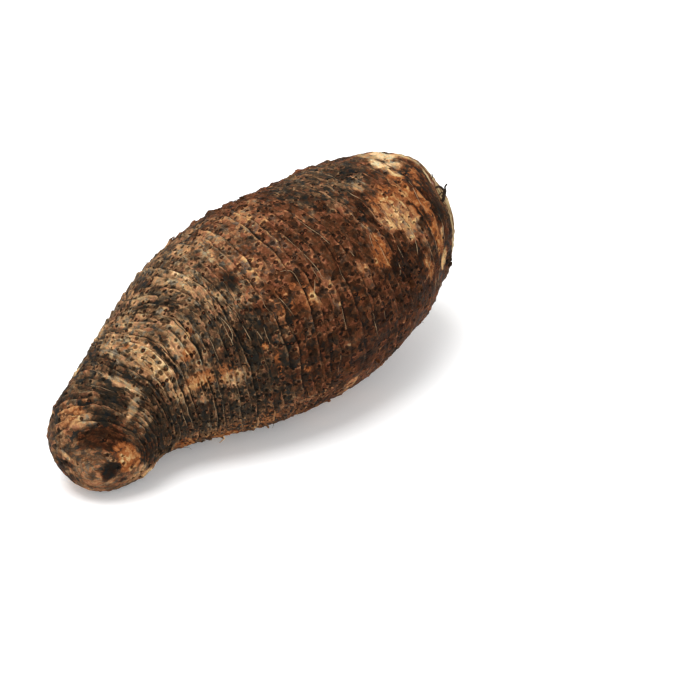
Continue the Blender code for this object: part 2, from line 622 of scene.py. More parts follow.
def bare(value: float, *place: float) -> Patch:
    """A patch that is barer, or more crusted, than the skin round it."""
    return Patch(Tone.BARE, value, *place)


def red(value: float, *place: float) -> Patch:
    """A patch of redder bark."""
    return Patch(Tone.RED, value, *place)


def rust(value: float, *place: float) -> Patch:
    """A patch of rust-orange skin."""
    return Patch(Tone.RUST, value, *place)


@dataclass
class SkinTones:
    """How bare, how red and how rusty the skin is at every place, with painted shade on its lower flank and
    underside.
    """

    random: np.random.Generator
    ground: Rows = (
        (0.0, 0.56, 0.45, 0.30), (25.0, 0.46, 0.35, 0.15), (45.0, 0.34, 0.10, 0.0),
        (60.0, 0.35, 0.10, 0.0), (75.0, 0.505, 0.15, 0.0), (98.0, 0.505, 0.05, 0.0),
        (120.0, 0.505, 0.10, 0.0), (140.0, 0.49, 0.50, 0.0), (165.0, 0.39, 0.85, 0.05),
        (195.0, 0.35, 0.90, 0.0), (225.0, 0.38, 0.70, 0.12), (245.0, 0.42, 0.60, 0.25),
        (262.0, 0.40, 0.50, 0.20), (311.5, 0.45, 0.30, 0.10),
    )
    patches: tuple[Patch, ...] = (
        # Painted shade on the underside, which darkens its bark, and a rust patch there.
        bare(0.31, 90, 95, 70, 18), bare(0.28, 150, 95, 40, 15), bare(0.44, 100, 132, 55, 24),
        rust(0.5, 112, 125, 30, 16),
        # The foot and the neck, and two bare streaks under the narrow half.
        bare(0.66, 6, -80, 6, 60), bare(0.64, 9, 150, 6, 40), bare(0.68, 26, 119, 5, 22),
        bare(0.23, 19, 12, 6, 46), red(0.9, 19, 12, 6, 46), bare(0.22, 30, 81, 5, 12),
        bare(0.56, 100, 136, 7, 9), rust(0.9, 100, 136, 7, 9), rust(0.8, 74, 132, 6, 10),
        bare(0.50, 74, 132, 6, 10), bare(0.75, 27, -14, 3.8, 24), bare(0.60, 24, -44, 4, 8),
        bare(0.54, 33, -26, 4.5, 18), rust(0.6, 31, -28, 6, 22), bare(0.42, 44, -22, 5, 16),
        bare(0.46, 56, -22, 5, 18), bare(0.22, 29, 12, 6, 16), bare(0.22, 43, 14, 7, 14),
        bare(0.26, 61, 15, 4, 45), bare(0.24, 46, 74, 12, 18), bare(0.20, 28, 76, 6, 12),
        bare(0.58, 41, 52, 7, 7), bare(0.80, 53.5, 18, 2.6, 20), bare(0.76, 44, 36, 13, 4.5),
        # The narrow half, with its pale band.
        bare(0.77, 74, 22, 6.4, 28, 0.04), bare(0.84, 78, 25, 1.5, 26, 0.03),
        rust(0.45, 73, 26, 6, 24, 0.04), bare(0.62, 66.5, 12, 2.6, 26, 0.06),
        bare(0.70, 70, -15, 5.5, 17, 0.14), bare(0.62, 74, 62, 3, 8), bare(0.25, 81.5, 33, 1.5, 20),
        bare(0.66, 88, 31, 5.5, 11), bare(0.70, 94, 32, 4.5, 14), bare(0.70, 85, -12, 4.5, 15, 0.2),
        bare(0.74, 96, -16, 3.5, 8, 0.4), bare(0.64, 92, 55, 8, 4), bare(0.68, 90, 64, 9, 4),
        bare(0.72, 109, 72, 7, 8), bare(0.60, 88, 77, 4, 5), rust(0.7, 92, 63, 11, 8),
        rust(0.55, 107, 70, 8, 8), rust(0.95, 100.5, 34, 2.6, 3), rust(0.6, 93, 44, 5, 4),
        bare(0.24, 98, 8, 4.5, 16, 0.3), bare(0.67, 112, 4, 5.0, 24, 0.32),
        # The middle.
        bare(0.60, 118, 32, 3, 10, 0.1), bare(0.34, 110, 28, 3.5, 9, 0.2), bare(0.40, 125, 20, 3.5, 7),
        bare(0.20, 129.5, 25, 4, 6), bare(0.74, 126, -17, 4, 9), bare(0.72, 131, 4, 3.5, 6),
        bare(0.72, 122, 30, 2.6, 3), bare(0.64, 131, 37, 3, 4), bare(0.64, 138, -4, 3.6, 11),
        bare(0.68, 154, -10, 7, 11), bare(0.60, 148, 2, 7, 6), bare(0.60, 140.5, 32, 3, 14),
        bare(0.58, 154, 49, 4.5, 14), bare(0.60, 164, 50, 2.4, 12), bare(0.25, 120, 60, 12, 14),
        bare(0.27, 143, 70, 12, 14), rust(0.5, 148, 52, 12, 10), red(0.9, 150, 30, 14, 22),
        # Bare and rusty streaks round the thick half.
        bare(0.58, 197, 20, 2.0, 12), bare(0.62, 198, 38, 2.2, 6), bare(0.50, 196.5, 52, 5.8, 9),
        rust(1.0, 196.5, 52, 5.8, 9), bare(0.66, 182.5, 53, 2.6, 5), rust(0.5, 182, 55, 3, 6),
        rust(0.9, 174, 66, 2.4, 4),
        # Rust-red spots.
        bare(0.50, 128, 66.5, 1.5, 2.2), rust(1.2, 128, 66.5, 1.5, 2.2), bare(0.50, 144.5, 91, 1.6, 2.6),
        rust(1.2, 144.5, 91, 1.6, 2.6), bare(0.50, 133, 74, 1.2, 1.8), rust(1.2, 133, 74, 1.2, 1.8),
        rust(0.8, 73, 1, 3, 3), rust(0.9, 132, 78, 2, 8),
        # The thick half, with its bald patch.
        bare(0.18, 187, 5, 9, 9), bare(0.20, 206, 30, 5, 10), bare(0.17, 208, 66, 9, 10),
        red(0.1, 209, -8, 30, 26), bare(0.41, 212, -10, 26, 24), bare(0.22, 223, -4, 8, 9),
        bare(0.25, 220, 66, 8, 8), bare(0.74, 216.6, 12, 3.2, 5.6), rust(0.4, 216.6, 12, 3.2, 5.6),
        bare(0.60, 226, 36, 17, 17, 0.1), rust(0.75, 228, 34, 16, 16, 0.1),
        bare(0.70, 221, 43, 11.5, 14, 0.1), bare(0.77, 222, 47, 7, 10.5, 0.1),
        rust(0.42, 221, 44, 9.5, 12, 0.1), rust(0.9, 236.8, 45, 2.6, 17), bare(0.48, 236.8, 45, 2.6, 17),
        rust(1.1, 241.5, 52, 5.2, 30), bare(0.57, 241.5, 52, 4.8, 30), bare(0.22, 240.4, 51, 0.9, 6),
        bare(0.52, 232, 64, 5.0, 9), bare(0.14, 248.8, 44, 1.6, 22), bare(0.20, 235.2, 52, 0.9, 15),
        rust(0.75, 224.5, 78, 3.5, 8), bare(0.56, 224.5, 78, 3.5, 8),
        # The crown, with its cream top, and one pale flake on the back.
        red(0.0, 252, -2, 9, 18), bare(1.04, 245.5, 6, 3.4, 13), bare(1.06, 257, -7, 5.5, 13),
        bare(0.82, 250, -14, 4, 8), bare(0.62, 167, -16, 2.6, 5.5), rust(0.3, 250, 10, 4, 10),
        bare(0.52, 257, 19, 6, 8), rust(0.6, 257, 19, 6, 8), bare(0.32, 251.5, 13, 1.2, 8),
        bare(0.25, 261.5, 18, 1.3, 12), bare(0.20, 254, 44, 5.5, 24), bare(0.80, 249.5, 69, 3.2, 4),
        bare(0.92, 249, 90, 6, 8), bare(0.94, 252.6, 7, 3, 7), bare(0.92, 267, 6, 3.5, 12),
        bare(0.46, 253, 29, 4, 6), rust(0.6, 253, 29, 4, 6),
        # Small spots, from the foot to the crown.
        bare(0.31, 36, -14, 4, 10), bare(0.30, 44, -18, 3.5, 9), bare(0.32, 52, -12, 3, 6),
        bare(0.34, 55, -35, 3, 8), bare(0.46, 59.5, 9, 3, 5), bare(0.57, 62.5, 22, 2.5, 7),
        bare(0.50, 72.5, -23, 3, 6), bare(0.80, 75.7, 0, 3, 4), bare(0.56, 78, 49.5, 2.5, 3),
        bare(0.70, 82, 2, 3.5, 8), bare(0.48, 85, -30, 3, 5), bare(0.40, 87.5, 23, 2.5, 5),
        bare(0.50, 88, -7, 3, 5), bare(0.40, 90, -26, 4, 7), bare(0.34, 90.5, 54, 4, 4),
        bare(0.44, 97, 57, 3, 4), bare(0.48, 95, 1, 3, 4), bare(0.52, 97.5, 11, 3, 5),
        bare(0.56, 98, -12, 2.5, 4), bare(0.31, 103, 66, 4, 5), bare(0.30, 103, -5, 3, 6),
        bare(0.26, 104, -21, 4.5, 8), bare(0.30, 104, 57, 3, 4), bare(0.46, 104, 87, 4, 4),
        bare(0.40, 104, 21, 3, 5), bare(0.44, 106, 1, 3, 4), bare(0.32, 107, 50, 3, 4),
        bare(0.40, 108, 40, 3, 5), bare(0.44, 109, -19, 3, 5), bare(0.62, 112.5, 22, 3, 4),
        bare(0.32, 112.5, 39, 3, 4), bare(0.42, 113, 85, 3, 4), bare(0.42, 116, 66, 3, 4),
        bare(0.74, 118.5, 6, 3, 4), bare(0.46, 119, 33, 3, 6), bare(0.46, 125, -26, 4, 6),
        bare(0.50, 125, 18, 3, 5), bare(0.28, 130, 45, 3, 4), bare(0.50, 132.5, 34, 3, 3),
        bare(0.68, 133, -7, 3, 5), bare(0.27, 134, 50, 4, 5), bare(0.64, 137, 17, 3.5, 5),
        bare(0.43, 137.5, 66, 4, 4), bare(0.38, 140, 53, 4, 4), bare(0.66, 141, 23, 3, 4),
        bare(0.74, 141.5, 31, 3, 4), bare(0.36, 141.7, 42, 3, 4), bare(0.61, 145, 31, 3, 4),
        bare(0.36, 148.5, 45, 3, 4), bare(0.42, 150, 72, 5, 5), bare(0.44, 152, 62, 3, 4),
        bare(0.66, 152, 8, 3, 5), bare(0.61, 153.5, 18, 3.5, 4), bare(0.36, 154, -19, 4, 8),
        bare(0.32, 155, 45, 5, 5), bare(0.62, 157, 3, 3.5, 5), bare(0.56, 157, 24, 3, 4),
        bare(0.33, 159.5, 34, 4, 4), bare(0.49, 162, 15, 3, 4), bare(0.58, 163, 6, 3, 5),
        bare(0.41, 165, 44, 3, 4), bare(0.42, 168, 85, 5, 4), bare(0.56, 168.5, -9, 3, 5),
        bare(0.54, 170, 7, 3, 4), bare(0.59, 175, 13, 3, 5), bare(0.52, 180, 18, 3, 5),
        bare(0.52, 183, 60, 3, 5), bare(0.44, 183, 6, 3, 7), bare(0.38, 188.5, 7, 3, 6),
        bare(0.61, 201.5, 46, 3, 4), bare(0.48, 212, 30, 4, 5), bare(0.50, 213.5, 6, 4, 6),
        bare(0.46, 216.5, 25, 3, 4), bare(0.36, 214, 51, 4, 4), bare(0.57, 223, 7, 3, 5),
        bare(0.38, 230, 22, 4, 5), bare(0.46, 236, 25, 2.5, 4), bare(0.44, 244.5, 67, 2.5, 4),
        # The foot's end, with its dark scar.
        rust(0.95, 16, 76, 6, 34), bare(0.58, 16, 80, 5.5, 32), bare(0.78, 15, 66, 2.6, 13),
        bare(0.05, 7.4, 96, 4.0, 44),
    )
    edge_waves: float = 6.5
    edge_nicks: float = 2.6
    nick_share: float = 0.5
    hidden_count: int = 150
    hidden_along: Place = (14.0, 258.0)
    hidden_side: Place = (122.0, 312.0)
    hidden_half_along: Place = (2.0, 7.0)
    hidden_half_degrees: Place = (5.0, 20.0)
    # For each kind of patch there: the draw up to which it is picked, its maker, its least value and how much
    # more it may be.
    hidden_kinds: tuple[tuple[float, Callable[..., Patch], float, float], ...] = (
        (0.45, bare, 0.58, 0.25), (0.85, bare, 0.16, 0.10), (1.00, rust, 0.50, 0.40),
    )
    hidden: tuple[Patch, ...] = field(init=False)
    # Painted shade: the skin is made less bare, so darker, round 85 degrees on the lower flank, and a little
    # barer round 125 degrees and towards the bottom.
    painted_side_shade: Places = (
        (-180.0, 0.02), (-60.0, 0.0), (40.0, 0.0),
        (85.0, -0.1), (125.0, 0.04), (180.0, 0.02),
    )

    def __post_init__(self) -> None:
        """Draw the patches of the far side at random, like those on the near side."""
        self.hidden = tuple(self._hidden_patch() for _ in range(self.hidden_count))

    def fields(self, along: Array, degrees: Array, points: Array) -> Array:
        """Work out the three tones.

        Args:
            along: Distances along the outline.
            degrees: Degrees round.
            points: The points on the smooth skin.

        Returns:
            One row for each place, with a column for each tone.
        """
        table = np.array(self.ground)
        tones = np.stack([np.interp(along, table[:, 0], column) for column in table[:, 1:].T], axis=1)
        # Painted shade on the lower flank, by degrees round.
        where, change = zip(*self.painted_side_shade)
        tones[:, Tone.BARE.value] += np.interp(turned(degrees, 0.0), where, change)
        waves = soft_noise(points, self.edge_waves, 21.0)
        ragged = waves + self.nick_share * soft_noise(points, self.edge_nicks, 33.0)
        for patch in self.hidden + self.patches:
            weight = patch.weight(along, degrees, ragged)
            column = patch.tone.value
            tones[:, column] += weight * (patch.value - tones[:, column])
        return tones

    def _hidden_patch(self) -> Patch:
        """Draw one patch at a random place on the far side.

        Returns:
            The patch: bare, crusted or rusty.
        """
        along, degrees = self.random.uniform(*self.hidden_along), self.random.uniform(*self.hidden_side)
        size = self.random.uniform(*self.hidden_half_along), self.random.uniform(*self.hidden_half_degrees)
        pick, value = self.random.random(2)
        make, least, spread = next(kind[1:] for kind in self.hidden_kinds if pick < kind[0])
        return make(least + spread * value, along, degrees, *size)


@dataclass(frozen=True)
class Grain:
    """A kind of noise: its largest grain, how many finer layers it has, their strength, and its swing."""

    size: float
    layers: float
    strength: float = 0.6
    swing: float = 1.0


class NodeBoard:
    """Lays out and wires the shader nodes of one material."""

    def __init__(self, name: str) -> None:
        """Start a material.

        Args:
            name: The material's name.
        """
        self.material = bpy.data.materials.new(name)
        self.material.use_nodes = True
        self.tree = self.material.node_tree
        self.shader = self.tree.nodes["Principled BSDF"]

    def feed(self, socket: Socket, value: object) -> None:
        """Wire a socket to another one, or set its number or colour.

        Args:
            socket: The socket of a node here.
            value: The other socket, or the number or colour.
        """
        if isinstance(value, Socket):
            self.tree.links.new(value, socket)
        else:
            socket.default_value = value

    def add(self, kind: str, inputs: dict[str | int, object], **settings: object) -> bpy.types.Node:
        """Add a node.

        Args:
            kind: The node's type, without its ShaderNode.
            inputs: What goes into its sockets.
            settings: Its own settings.

        Returns:
            The node.
        """
        node = self.tree.nodes.new("ShaderNode" + kind)
        for name, value in settings.items():
            setattr(node, name, value)
        for name, value in inputs.items():
            self.feed(node.inputs[name], value)
        return node

    def vector(self, name: str) -> Socket:
        """A vector that the mesh holds as an attribute."""
        return self.add("Attribute", {}, attribute_name=name).outputs["Vector"]

    def number(self, name: str) -> Socket:
        """A number that the mesh holds as an attribute."""
        return self.add("Attribute", {}, attribute_name=name).outputs["Fac"]

    def parts(self, vector: Socket) -> list[Socket]:
        """The three numbers of a vector."""
        return list(self.add("SeparateXYZ", {0: vector}).outputs)

    def sum(self, *terms: Socket | float) -> Socket:
        """Add up terms.

        Args:
            terms: Two or more sockets and numbers.

        Returns:
            Their sum.
        """
        total = terms[0]
        for term in terms[1:]:
            total = self.math("ADD", total, term)
        return total

    def math(self, operation: str, *values: Socket | float, clamp: bool = False) -> Socket:
        """One step of arithmetic."""
        node = self.add("Math", dict(enumerate(values)), operation=operation, use_clamp=clamp)
        return node.outputs[0]

    def times(self, value: Socket, factor: Socket | float) -> Socket:
        """One number times another."""
        return self.math("MULTIPLY", value, factor)

    def weigh(self, weights: object, **markings: Socket) -> Socket:
        """Markings added up, each times its own weight."""
        return self.sum(*(self.times(level, getattr(weights, name)) for name, level in markings.items()))

    def ease(self, value: Socket, start: float, end: float) -> Socket:
        """A smooth rise from 0 at start to 1 at end."""
        inputs = {"Value": value, "From Min": start, "From Max": end}
        return self.add("MapRange", inputs, interpolation_type="SMOOTHSTEP").outputs["Result"]

    def stretch(self, vector: Socket, factors: Point) -> Socket:
        """A vector with each part multiplied."""
        return self.add("VectorMath", {0: vector, 1: factors}, operation="MULTIPLY").outputs["Vector"]

    def noise(self, vector: Socket, grain: Grain) -> Socket:
        """Noise about zero.

        Args:
            vector: Where it is read.
            grain: Its kind, with its size in the vector's own units.

        Returns:
            The noise.
        """
        inputs = {
            "Vector": vector, "Scale": 1.0 / grain.size,
            "Detail": grain.layers, "Roughness": grain.strength,
        }
        level = self.add("TexNoise", inputs).outputs["Fac"]
        return self.math("MULTIPLY_ADD", level, grain.swing, -0.5 * grain.swing)

    def ramp(self, value: Socket, stops: Iterable[tuple[float, Colour]]) -> Socket:
        """Colours by value.

        Args:
            value: A number from 0 to 1.
            stops: Pairs of position and colour.

        Returns:
            The colour.
        """
        node = self.add("ValToRGB", {0: value})
        elements = node.color_ramp.elements
        elements.remove(elements[1])
        for i, (position, colour) in enumerate(stops):
            element = elements[0] if i == 0 else elements.new(position)
            element.position = position
            element.color = (*colour, 1.0)
        return node.outputs["Color"]

    def mix(self, share: Socket | float, first: Paint, second: Paint, blend: str = "MIX") -> Socket:
        """Two colours mixed.

        Args:
            share: Share of the second.
            first: One colour.
            second: The other.
            blend: How they are mixed.

        Returns:
            The colour.
        """
        node = self.add("Mix", {0: share}, data_type="RGBA", blend_type=blend)
        sockets = {socket.identifier: socket for socket in node.inputs}
        for name, value in (("A_Color", first), ("B_Color", second)):
            self.feed(sockets[name], value if isinstance(value, Socket) else (*value, 1.0))
        return next(socket for socket in node.outputs if socket.identifier == "Result_Color")

    def relief(self, height: Socket, distance: float) -> None:
        """Give the material a fine relief, as deep as distance in metres."""
        bump = self.add("Bump", {"Height": height, "Distance": distance, "Strength": 1.0})
        self.feed(self.shader.inputs["Normal"], bump.outputs["Normal"])

    def finish(self, colour: Paint, roughness: Socket | float, specular: float) -> Material:
        """Set the surface and return the material.

        Args:
            colour: Its colour.
            roughness: Its roughness.
            specular: Its gloss level.

        Returns:
            The material.
        """
        base = colour if isinstance(colour, Socket) else (*colour, 1.0)
        self.feed(self.shader.inputs["Base Color"], base)
        self.feed(self.shader.inputs["Roughness"], roughness)
        self.shader.inputs["Specular IOR Level"].default_value = specular
        return self.material


@dataclass(frozen=True)
class Wear:
    """How much barer each marking makes the skin, or how much more crusted where it is below zero. The
    crevice's share is painted shade in the hollow beyond each lip.
    """

    blotch: float = 0.18
    streak: float = 0.16
    grain: float = 0.095
    scales: float = 0.12
    web: float = 0.125
    collar: float = 0.135
    lip: float = 0.17
    crevice: float = -0.26
    ridges: float = 0.07
    overall: float = -0.08


@dataclass(frozen=True)
class Relief:
    """How deep the fine relief is, in metres, and how high each marking stands in it."""

    depth: float = 0.0004
    streak: float = 0.5
    grain: float = 0.5
    scales: float = 0.25
    bareness: float = 0.7
    web: float = 0.3
    ridges: float = 0.3
    hole: float = -1.5


@dataclass(frozen=True)
class Edges:
    """Where each marking of the skin starts, and where it is whole."""

    lip: Place = (1.4, 0.1)
    lip_wear: Place = (0.4, 1.6)
    # Painted shade in the hollow beyond each lip: where it starts, and where it is whole.
    crevice: Place = (1.35, -0.1)
    deep_step: Place = (0.3, 1.7)
    foot: Place = (16.0, 44.0)
    tear: Place = (-0.1, 0.5)
    seam: Place = (0.16, 0.02)
    fibre: Place = (0.09, 0.0)
    fibre_gap: Place = (0.9, 0.2)
    hole: Place = (0.4, -0.3)
    collar: Place = (-0.05, 0.3)
    collar_end: Place = (1.3, 0.5)
    collar_break: Place = (-0.2, 1.0)
    stub: Place = (0.12, -0.2)
    stub_choice: Place = (0.5, 0.7)
    ridge: Place = (7.5, 4.0)
    red_bark: Place = (0.1, 0.8)
    rust: Place = (0.1, 0.8)
    rust_bareness: Place = (0.22, 0.46)
    cream_ring: Place = (-0.2, 0.25)
    pink: Place = (0.1, 0.6)
    cut: Place = (0.35, 0.65)


@dataclass(frozen=True)
class SkinFinish:
    """Dry, ringed bark: blue-black crust, worn to red-brown, tan and cream, with dark root pits, and painted
    shade in the pits and in the hollows beyond the scars' lips.
    """

    crust_stops: Stops = (
        (0.00, (0.009, 0.008, 0.007)), (0.24, (0.023, 0.016, 0.011)), (0.36, (0.054, 0.032, 0.020)),
        (0.49, (0.124, 0.073, 0.042)), (0.63, (0.262, 0.160, 0.096)), (0.82, (0.395, 0.250, 0.134)),
        (1.00, (0.620, 0.485, 0.315)),
    )
    bark_stops: Stops = (
        (0.00, (0.010, 0.004, 0.002)), (0.22, (0.031, 0.011, 0.0045)), (0.38, (0.070, 0.027, 0.0125)),
        (0.54, (0.133, 0.054, 0.030)), (0.68, (0.258, 0.125, 0.067)), (0.84, (0.390, 0.226, 0.104)),
        (1.00, (0.590, 0.425, 0.230)),
    )
    rust_stops: Stops = (
        (0.24, (0.060, 0.018, 0.010)), (0.40, (0.180, 0.052, 0.014)), (0.56, (0.300, 0.098, 0.030)),
        (0.74, (0.410, 0.200, 0.072)), (1.00, (0.580, 0.410, 0.190)),
    )
    # Near black: the pits' own dark scar, and the painted shade in them and in the hollows beyond the lips.
    pit_and_shade_colour: Colour = (0.004, 0.003, 0.002)
    stub_colour: Colour = (0.085, 0.024, 0.010)
    sheath_brown: Colour = (0.120, 0.045, 0.018)
    sheath_cream: Colour = (0.500, 0.370, 0.190)
    sheath_pink: Colour = (0.450, 0.260, 0.200)
    tint_stops: Stops = (
        (0.00, (0.70, 0.94, 1.16)), (0.36, (0.93, 1.00, 0.90)), (0.62, (1.15, 1.00, 0.79)),
        (1.00, (1.18, 0.97, 0.88)),
    )
    blotches: Grain = Grain(5.2, 4.0, 0.65, 2.6)
    fine_grain: Grain = Grain(1.1, 3.0, 0.62, 2.4)
    streaks: Grain = Grain(4.4, 5.0, 0.68, 2.4)
    streak_stretch: Point = (2.6, 1.0, 1.0)
    foot_grain: Grain = Grain(3.6, 5.0, 0.70, 2.4)
    scale_size: float = 2.8
    scale_stretch: Point = (1.6, 1.0, 1.0)
    scale_warp: float = 3.8
    warp_size: float = 2.4
    tears: Grain = Grain(5.5, 2.0, 0.6, 2.0)
    fibres: Grain = Grain(4.2, 1.0, 0.5, 2.0)
    fibre_stretch: Point = (1.5, 0.5, 0.5)
    drifts: Grain = Grain(9.0, 2.0, 0.5, 2.4)
    hues: Grain = Grain(3.0, 3.0, 0.65, 2.6)
    sheath_rings: Grain = Grain(7.0, 3.0, 0.6, 2.2)
    sheath_stretch: Point = (3.0, 0.25, 0.25)
    ridge_width: float = 2.1
    edges: Edges = Edges()
    wear: Wear = Wear()
    relief: Relief = Relief()
    dull_from: Place = (0.25, 0.6)
    dull_to: Place = (0.55, 0.8)
    gloss: float = 0.03

    def make(self) -> Material:
        """Build the material.

        Returns:
            The material. It reads the skin's own attributes.
        """
        board = NodeBoard("corm_skin")
        place = board.vector("unrolled")
        bare_skin, redness, rusted = board.parts(board.vector("tones"))
        above, below, step = board.parts(board.vector("band"))

        blotch = board.noise(place, self.blotches)
        streak = self._streak(board, place)
        grain = board.noise(place, self.fine_grain)
        scales, hue, web = self._scales(board, place)
        hole, collar, stub = self._pits(board, grain, scales)
        ridges = self._bud_ridges(board)
        edges, wear, relief = self.edges, self.wear, self.relief
        frayed = board.sum(streak, step, board.times(grain, 0.7))
        lip = board.times(board.ease(below, *edges.lip), board.ease(frayed, *edges.lip_wear))
        strong = board.ease(board.sum(step, board.times(streak, 1.3)), *edges.deep_step)
        # The crevice is painted shade: the hollow beyond each strong lip is made less bare and mixed towards
        # the near-black pit colour.
        low = board.ease(board.sum(above, board.times(grain, 0.9)), *edges.crevice)
        crevice = board.times(low, strong)
        worn = board.weigh(
            wear, blotch=blotch, streak=streak, grain=grain, scales=scales, web=web, collar=collar,
            lip=lip, crevice=crevice, ridges=ridges,
        )
        bareness = board.math("ADD", board.sum(bare_skin, worn), wear.overall, clamp=True)
        warmth = board.sum(board.times(hue, 0.75), board.times(scales, 0.85))
        colour = self._colour(board, place, bareness, redness, rusted, streak, grain, warmth)
        # Painted shade in the hollows beyond the lips.
        colour = board.mix(board.times(crevice, 0.6), colour, self.pit_and_shade_colour)
        # The pits are dark with their own scar and with painted shade in the hollow.
        colour = board.mix(hole, colour, board.mix(stub, self.pit_and_shade_colour, self.stub_colour))
        dull = dict(zip(("From Min", "From Max", "To Min", "To Max"), self.dull_from + self.dull_to))
        roughness = board.add("MapRange", {"Value": bareness, **dull}).outputs["Result"]
        height = board.weigh(
            relief, streak=streak, grain=grain, scales=scales, bareness=bareness, web=web,
            ridges=ridges, hole=hole,
        )
        board.relief(height, relief.depth)
        return board.finish(colour, roughness, self.gloss)

    def _streak(self, board: NodeBoard, place: Socket) -> Socket:
        """Draw noise out round the girth, and leave it rounder on the foot.

        Args:
            board: The material's board.
            place: The place on the skin.

        Returns:
            The noise.
        """
        drawn_out = board.noise(board.stretch(place, self.streak_stretch), self.streaks)
        rounder = board.noise(place, self.foot_grain)
        share = board.ease(board.parts(place)[0], *self.edges.foot)
        change = board.times(board.math("SUBTRACT", drawn_out, rounder), share)
        return board.sum(rounder, change)

    def _scales(self, board: NodeBoard, place: Socket) -> tuple[Socket, Socket, Socket]:
        """Lay small scales of bark, each with a tone and a hue of its own, and the fibres between them.

        Args:
            board: The material's board.
            place: The place on the skin.

        Returns:
            A scale's tone and its hue, both from -1 to 1, and how much pale fibre there is.
        """
        warp = board.add("TexNoise", {"Vector": place, "Scale": 1.0 / self.warp_size, "Detail": 3.0})
        shift = board.stretch(warp.outputs["Color"], (self.scale_warp,) * 3)
        bent = board.add("VectorMath", {0: place, 1: shift}, operation="ADD").outputs["Vector"]
        laid = {"Vector": board.stretch(bent, self.scale_stretch), "Scale": 1.0 / self.scale_size}
        cell = board.parts(board.add("TexVoronoi", laid).outputs["Color"])
        seam = board.add("TexVoronoi", laid, feature="DISTANCE_TO_EDGE").outputs["Distance"]
        edges = self.edges
        broken = board.ease(board.noise(place, self.tears), *edges.tear)
        contour = board.noise(board.stretch(bent, self.fibre_stretch), self.fibres)
        thin = board.ease(board.math("ABSOLUTE", contour), *edges.fibre)
        fibre = board.times(thin, board.ease(broken, *edges.fibre_gap))
        web = board.math("MAXIMUM", board.times(board.ease(seam, *edges.seam), broken), fibre)
        tone, hue = (board.math("MULTIPLY_ADD", part, 2.0, -1.0) for part in cell[:2])
        return tone, hue, web

    def _pits(self, board: NodeBoard, grain: Socket, scales: Socket) -> tuple[Socket, Socket, Socket]:
        """Sink the root pits, dark with their own scar and with painted shade in the hollow, with a broken
        light collar round each and a root stub in some.

        Args:
            board: The material's board.
            grain: Fine noise, which roughens their edges.
            scales: The tone of the scales, which breaks the collars.

        Returns:
            How much there is of the hole, of the collar and of the stub.
        """
        beside, around, own = board.parts(board.vector("pit"))
        radius = board.number("pit_radius")
        squeeze = board.math("MULTIPLY_ADD", own, 0.9, 0.55)
        across = board.times(board.times(around, around), squeeze)
        reach = board.math("SQRT", board.sum(board.times(beside, beside), across))
        edges = self.edges
        beyond = board.sum(reach, board.times(grain, 0.45), board.times(radius, -1.0))
        dark = board.math("MULTIPLY_ADD", own, 0.36, 0.62)
        hole = board.times(board.ease(beyond, *edges.hole), dark)
        collar = board.times(board.ease(beyond, *edges.collar), board.ease(beyond, *edges.collar_end))
        broken = board.ease(board.sum(scales, board.times(own, 0.8)), *edges.collar_break)
        middle = board.ease(board.sum(reach, board.times(radius, -0.5)), *edges.stub)
        stub = board.times(middle, board.ease(own, *edges.stub_choice))
        return hole, board.times(collar, broken), stub

    def _bud_ridges(self, board: NodeBoard) -> Socket:
        """Draw rings round each side bud, which fade outwards.

        Args:
            board: The material's board.

        Returns:
            The rings, from -1 in a hollow to 1 on a ridge.
        """
        bud = board.number("bud")
        wave = board.math("SINE", board.times(bud, math.tau / self.ridge_width))
        return board.times(wave, board.ease(bud, *self.edges.ridge))

    def _colour(
        self, board: NodeBoard, place: Socket, bareness: Socket, redness: Socket, rusted: Socket,
        streak: Socket, grain: Socket, warmth: Socket,
    ) -> Socket:
        """Colour the skin but for its pits: crust or red bark, then rust, then the cut sheaths.

        Args:
            board: The material's board.
            place: The place on the skin.
            bareness: How bare it is, from 0 to 1.
            redness: How red its bark is.
            rusted: How much rust it has.
            streak: Noise drawn out round the girth.
            grain: Fine noise.
            warmth: How warm its hue is, about zero.

        Returns:
            The colour.
        """
        edges = self.edges
        crust = board.ramp(bareness, self.crust_stops)
        bark = board.ramp(bareness, self.bark_stops)
        drift = board.noise(place, self.drifts)
        warm = board.times(warmth, 0.2)
        red_share = board.ease(board.sum(redness, board.times(drift, 0.5), warm), *edges.red_bark)
        colour = board.mix(red_share, crust, bark)
        hue = board.sum(board.noise(place, self.hues), board.times(warmth, 0.28))
        hue = board.math("ADD", hue, 0.5, clamp=True)
        colour = board.mix(1.0, colour, board.ramp(hue, self.tint_stops), "MULTIPLY")
        orange = board.ramp(board.sum(bareness, board.times(warm, 0.4)), self.rust_stops)
        patchy = (board.times(drift, -0.4), board.times(streak, 0.4), board.times(grain, 0.3))
        level = board.sum(rusted, *patchy, -0.1)
        share = board.times(board.ease(level, *edges.rust), board.ease(bareness, *edges.rust_bareness))
        colour = board.mix(board.times(share, 0.95), colour, orange)
        cut = board.number("cut")
        rings = board.noise(board.stretch(place, self.sheath_stretch), self.sheath_rings)
        sheath = board.mix(board.ease(rings, *edges.cream_ring), self.sheath_brown, self.sheath_cream)
        sheath = board.mix(board.ease(streak, *edges.pink), sheath, self.sheath_pink)
        cut_share = board.ease(board.sum(cut, board.times(grain, 0.3)), *edges.cut)
        return board.mix(cut_share, colour, sheath)


